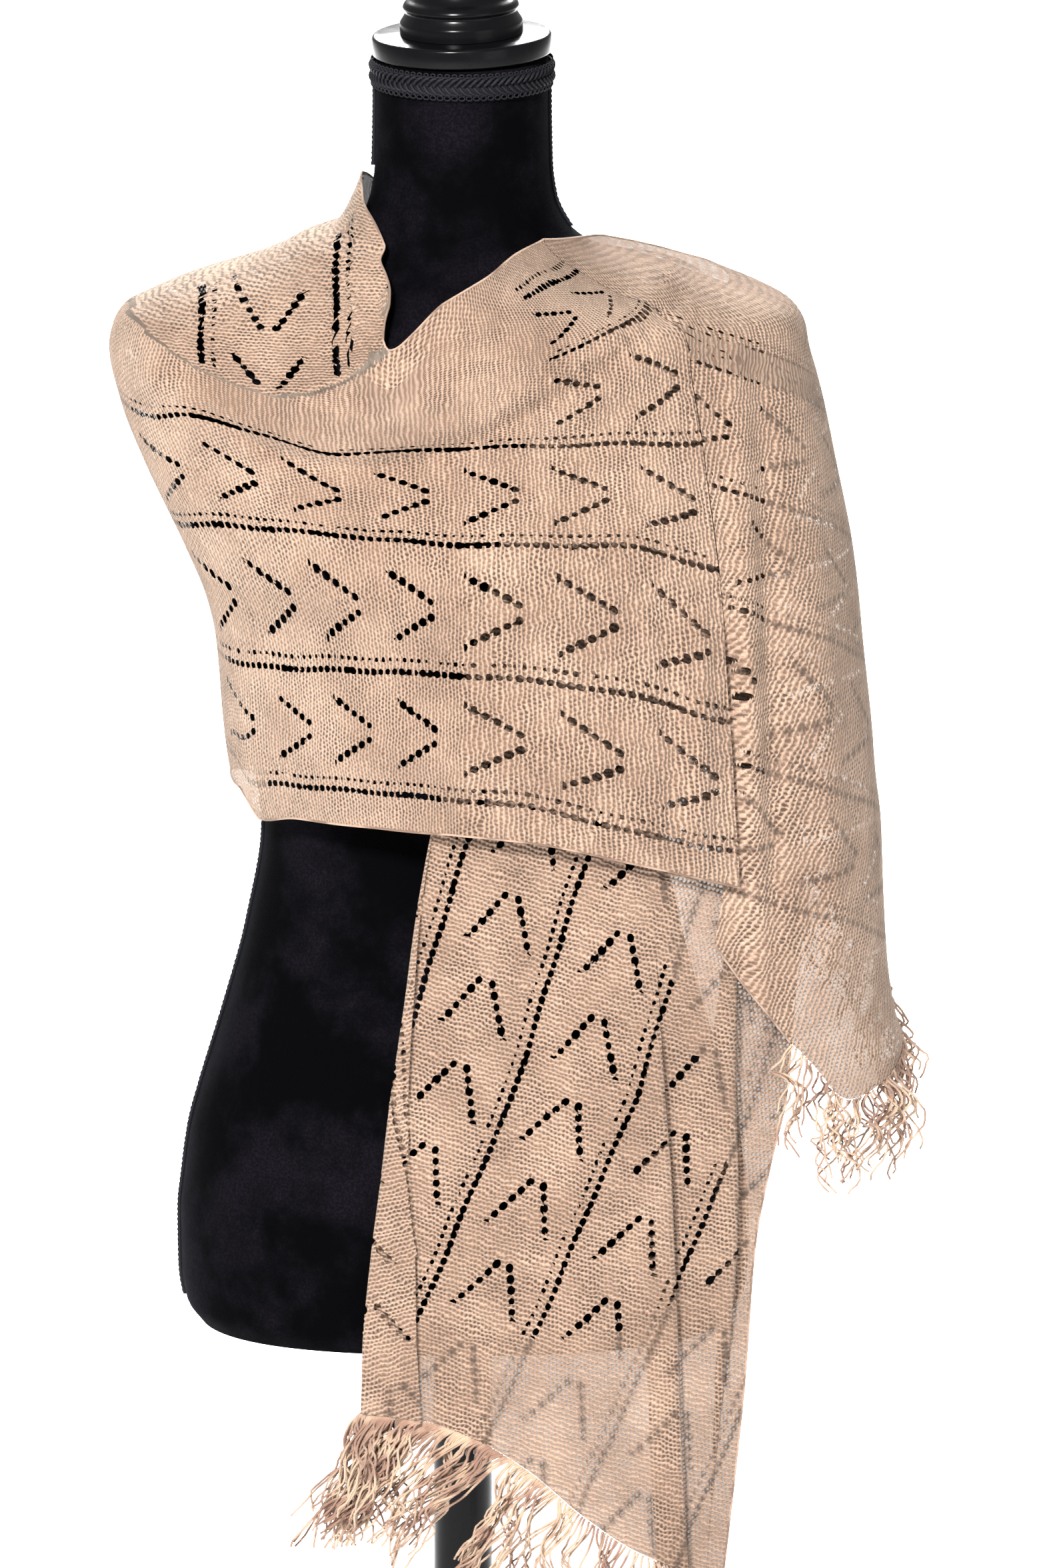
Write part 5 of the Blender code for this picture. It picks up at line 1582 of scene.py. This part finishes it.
def turned_piece(name, profile, node_name, material, tilt=False, smooth=False):
    """A turned piece from its profile, in rounder steps than the solid."""
    radius, height = column(profile, "radius"), column(profile, "height")
    if smooth:
        run = np.concatenate([[0], np.cumsum(np.hypot(np.diff(radius), np.diff(height)))])
        table = np.stack([radius, height], -1)[None]
        fine = smooth_columns(run, table, np.linspace(0, run[-1], TURNED_STEPS))[0]
        radius, height = fine[:, 0], fine[:, 1]
    else:
        ends = np.stack([radius, height], -1)
        points = [ends[0]]
        for a, b in zip(ends, ends[1:]):
            size = np.linalg.norm(b - a)
            ease = min(TURNED_EDGE, size * 0.25) / size
            points += [a + (b - a) * ease, b - (b - a) * ease]
        points.append(ends[-1])
        radius, height = np.array(points).T
    turn = np.linspace(0, 2 * math.pi, TURNED_SIDES + 1)[:-1]
    radius = np.maximum(radius, 1e-5)
    points = on_circle(radius[:, None], turn, height[:, None])
    index = np.arange(points.shape[0] * TURNED_SIDES).reshape(-1, TURNED_SIDES)
    around = np.roll(index, -1, axis=1)
    quads = np.stack([index[:-1], index[1:], around[1:], around[:-1]], -1).reshape(-1, 4)
    faces = quads.tolist()
    points = points.reshape(-1, 3)
    if tilt:
        low = NECK_TOP + TOUCH
        x, z = points[:, 0], points[:, 2]
        cos, sin = math.cos(CAP_TILT), math.sin(CAP_TILT)
        lift = low - low * cos + math.tan(CAP_TILT) * DISC_RADIUS
        points = np.stack([x * cos - z * sin + low * sin, points[:, 1], x * sin + z * cos + lift], -1)
    obj = add_piece(name, points, faces, material, (node_name,))
    obj.data.set_sharp_from_angle(angle=math.radians(40))
    return obj


class FORM_OT_turn_wood(bpy.types.Operator):
    """Turn the disc and knob on the neck, and the pole and foot"""

    bl_idname = "form.turn_wood"
    bl_label = "Turn disc, knob, pole and foot"

    def execute(self, context):
        material = lacquer_material(context.scene.dress_form)
        disc_low = NECK_TOP + TOUCH
        disc = [Turned(row.radius, row.height + disc_low) for row in NECK_DISC]
        knob = [Turned(row.radius, row.height + disc_low + DISC_HEIGHT + TOUCH) for row in FINIAL]
        turned_piece("neck_disc", disc, "form_neck_cap", material, tilt=True)
        turned_piece("neck_knob", knob, "form_finial", material, tilt=True, smooth=True)
        turned_piece("stand_pole", POLE, "form_pole", material)
        turned_piece("stand_foot", BASE, "form_base", material)
        return {"FINISHED"}


# The stage: half its floor, what the camera looks at, and lights by share of the key's power.
FLOOR_HALF = 40
AIM = (0.0356, 0.0, 1.0223)
Light = namedtuple("Light", "name place aim size share")
LIGHTS = (
    Light("key_light", (-1.3, -4.2, 4.1), AIM, 0.8, 1.0),
    Light("fill_light", (3.4, -3.6, 1.8), AIM, 2.6, 0.05),
    Light("floor_light", (0.0, 5.2, 3.4), (0.0, 5.2, 0.0), 3.0, 2.0),
)


class STAGE_OT_set_studio(bpy.types.Operator):
    """Set up the floor, the lights, the surroundings and the camera"""

    bl_idname = "stage.set_studio"
    bl_label = "Set up studio"

    def execute(self, context):
        stage = context.scene.stage_settings
        mesh = bpy.data.meshes.new("studio_floor")
        corners = [(x * FLOOR_HALF, y * FLOOR_HALF, 0) for x, y in ((-1, -1), (1, -1), (1, 1), (-1, 1))]
        mesh.from_pydata(corners, [], [(0, 1, 2, 3)])
        floor = bpy.data.objects.new("studio_floor", mesh)
        context.scene.collection.objects.link(floor)
        material, _, shader = new_material("pale_floor")
        shader.inputs["Base Color"].default_value = (*stage.floor, 1.0)
        shader.inputs["Roughness"].default_value = 0.9
        floor.data.materials.append(material)
        world = bpy.data.worlds.new("pale_surroundings")
        world.use_nodes = True
        backdrop = world.node_tree.nodes["Background"]
        backdrop.inputs["Color"].default_value = (1.0, 1.0, 1.0, 1.0)
        backdrop.inputs["Strength"].default_value = stage.world
        context.scene.world = world
        context.scene.view_settings.view_transform = "Standard"
        for row in LIGHTS:
            data = bpy.data.lights.new(row.name, "AREA")
            data.size = row.size
            data.energy = stage.key_power * row.share
            light = bpy.data.objects.new(row.name, data)
            light.location = row.place
            light.rotation_mode = "QUATERNION"
            light.rotation_quaternion = (Vector(row.aim) - light.location).to_track_quat("-Z", "Y")
            context.scene.collection.objects.link(light)
        data = bpy.data.cameras.new("camera")
        data.sensor_width = 36.0
        data.lens = data.sensor_width * stage.distance / stage.view_height
        data.clip_end = 200.0
        camera = bpy.data.objects.new("camera", data)
        back = Vector((0.0, -math.cos(stage.elevation), math.sin(stage.elevation)))
        camera.location = Vector(AIM) + back * stage.distance
        camera.rotation_mode = "QUATERNION"
        camera.rotation_quaternion = (-back).to_track_quat("-Z", "Y")
        context.scene.collection.objects.link(camera)
        context.scene.camera = camera
        return {"FINISHED"}


class STOLE_PT_panel(bpy.types.Panel):
    """The steps that make the stole, its form and the stage"""

    bl_label = "Lace Stole"
    bl_idname = "STOLE_PT_panel"
    bl_space_type = "VIEW_3D"
    bl_region_type = "UI"
    bl_category = "Stole"

    def draw(self, context):
        for step in OPERATORS:
            self.layout.operator(step.bl_idname)
        for group in (context.scene.stole, context.scene.dress_form, context.scene.stage_settings):
            box = self.layout.box()
            for name in type(group).__annotations__:
                box.prop(group, name)


OPERATORS = (
    FORM_OT_cover_torso,
    FORM_OT_lay_piping,
    FORM_OT_weave_braid,
    FORM_OT_turn_wood,
    STOLE_OT_knit_fall,
    STOLE_OT_knit_back,
    STOLE_OT_knit_chest,
    STOLE_OT_knit_wing,
    STAGE_OT_set_studio,
)
CLASSES = (StoleSettings, FormSettings, StageSettings, *OPERATORS, STOLE_PT_panel)


def register():
    """Add the settings, the steps and the panel."""
    for cls in CLASSES:
        bpy.utils.register_class(cls)
    bpy.types.Scene.stole = bpy.props.PointerProperty(type=StoleSettings)
    bpy.types.Scene.dress_form = bpy.props.PointerProperty(type=FormSettings)
    bpy.types.Scene.stage_settings = bpy.props.PointerProperty(type=StageSettings)


def unregister():
    """Take them out again."""
    del bpy.types.Scene.stage_settings
    del bpy.types.Scene.dress_form
    del bpy.types.Scene.stole
    for cls in reversed(CLASSES):
        bpy.utils.unregister_class(cls)


def main():
    """Make every piece and the stage."""
    register()
    for step in OPERATORS:
        group, name = step.bl_idname.split(".")
        getattr(getattr(bpy.ops, group), name)()


if __name__ == "__main__":
    main()
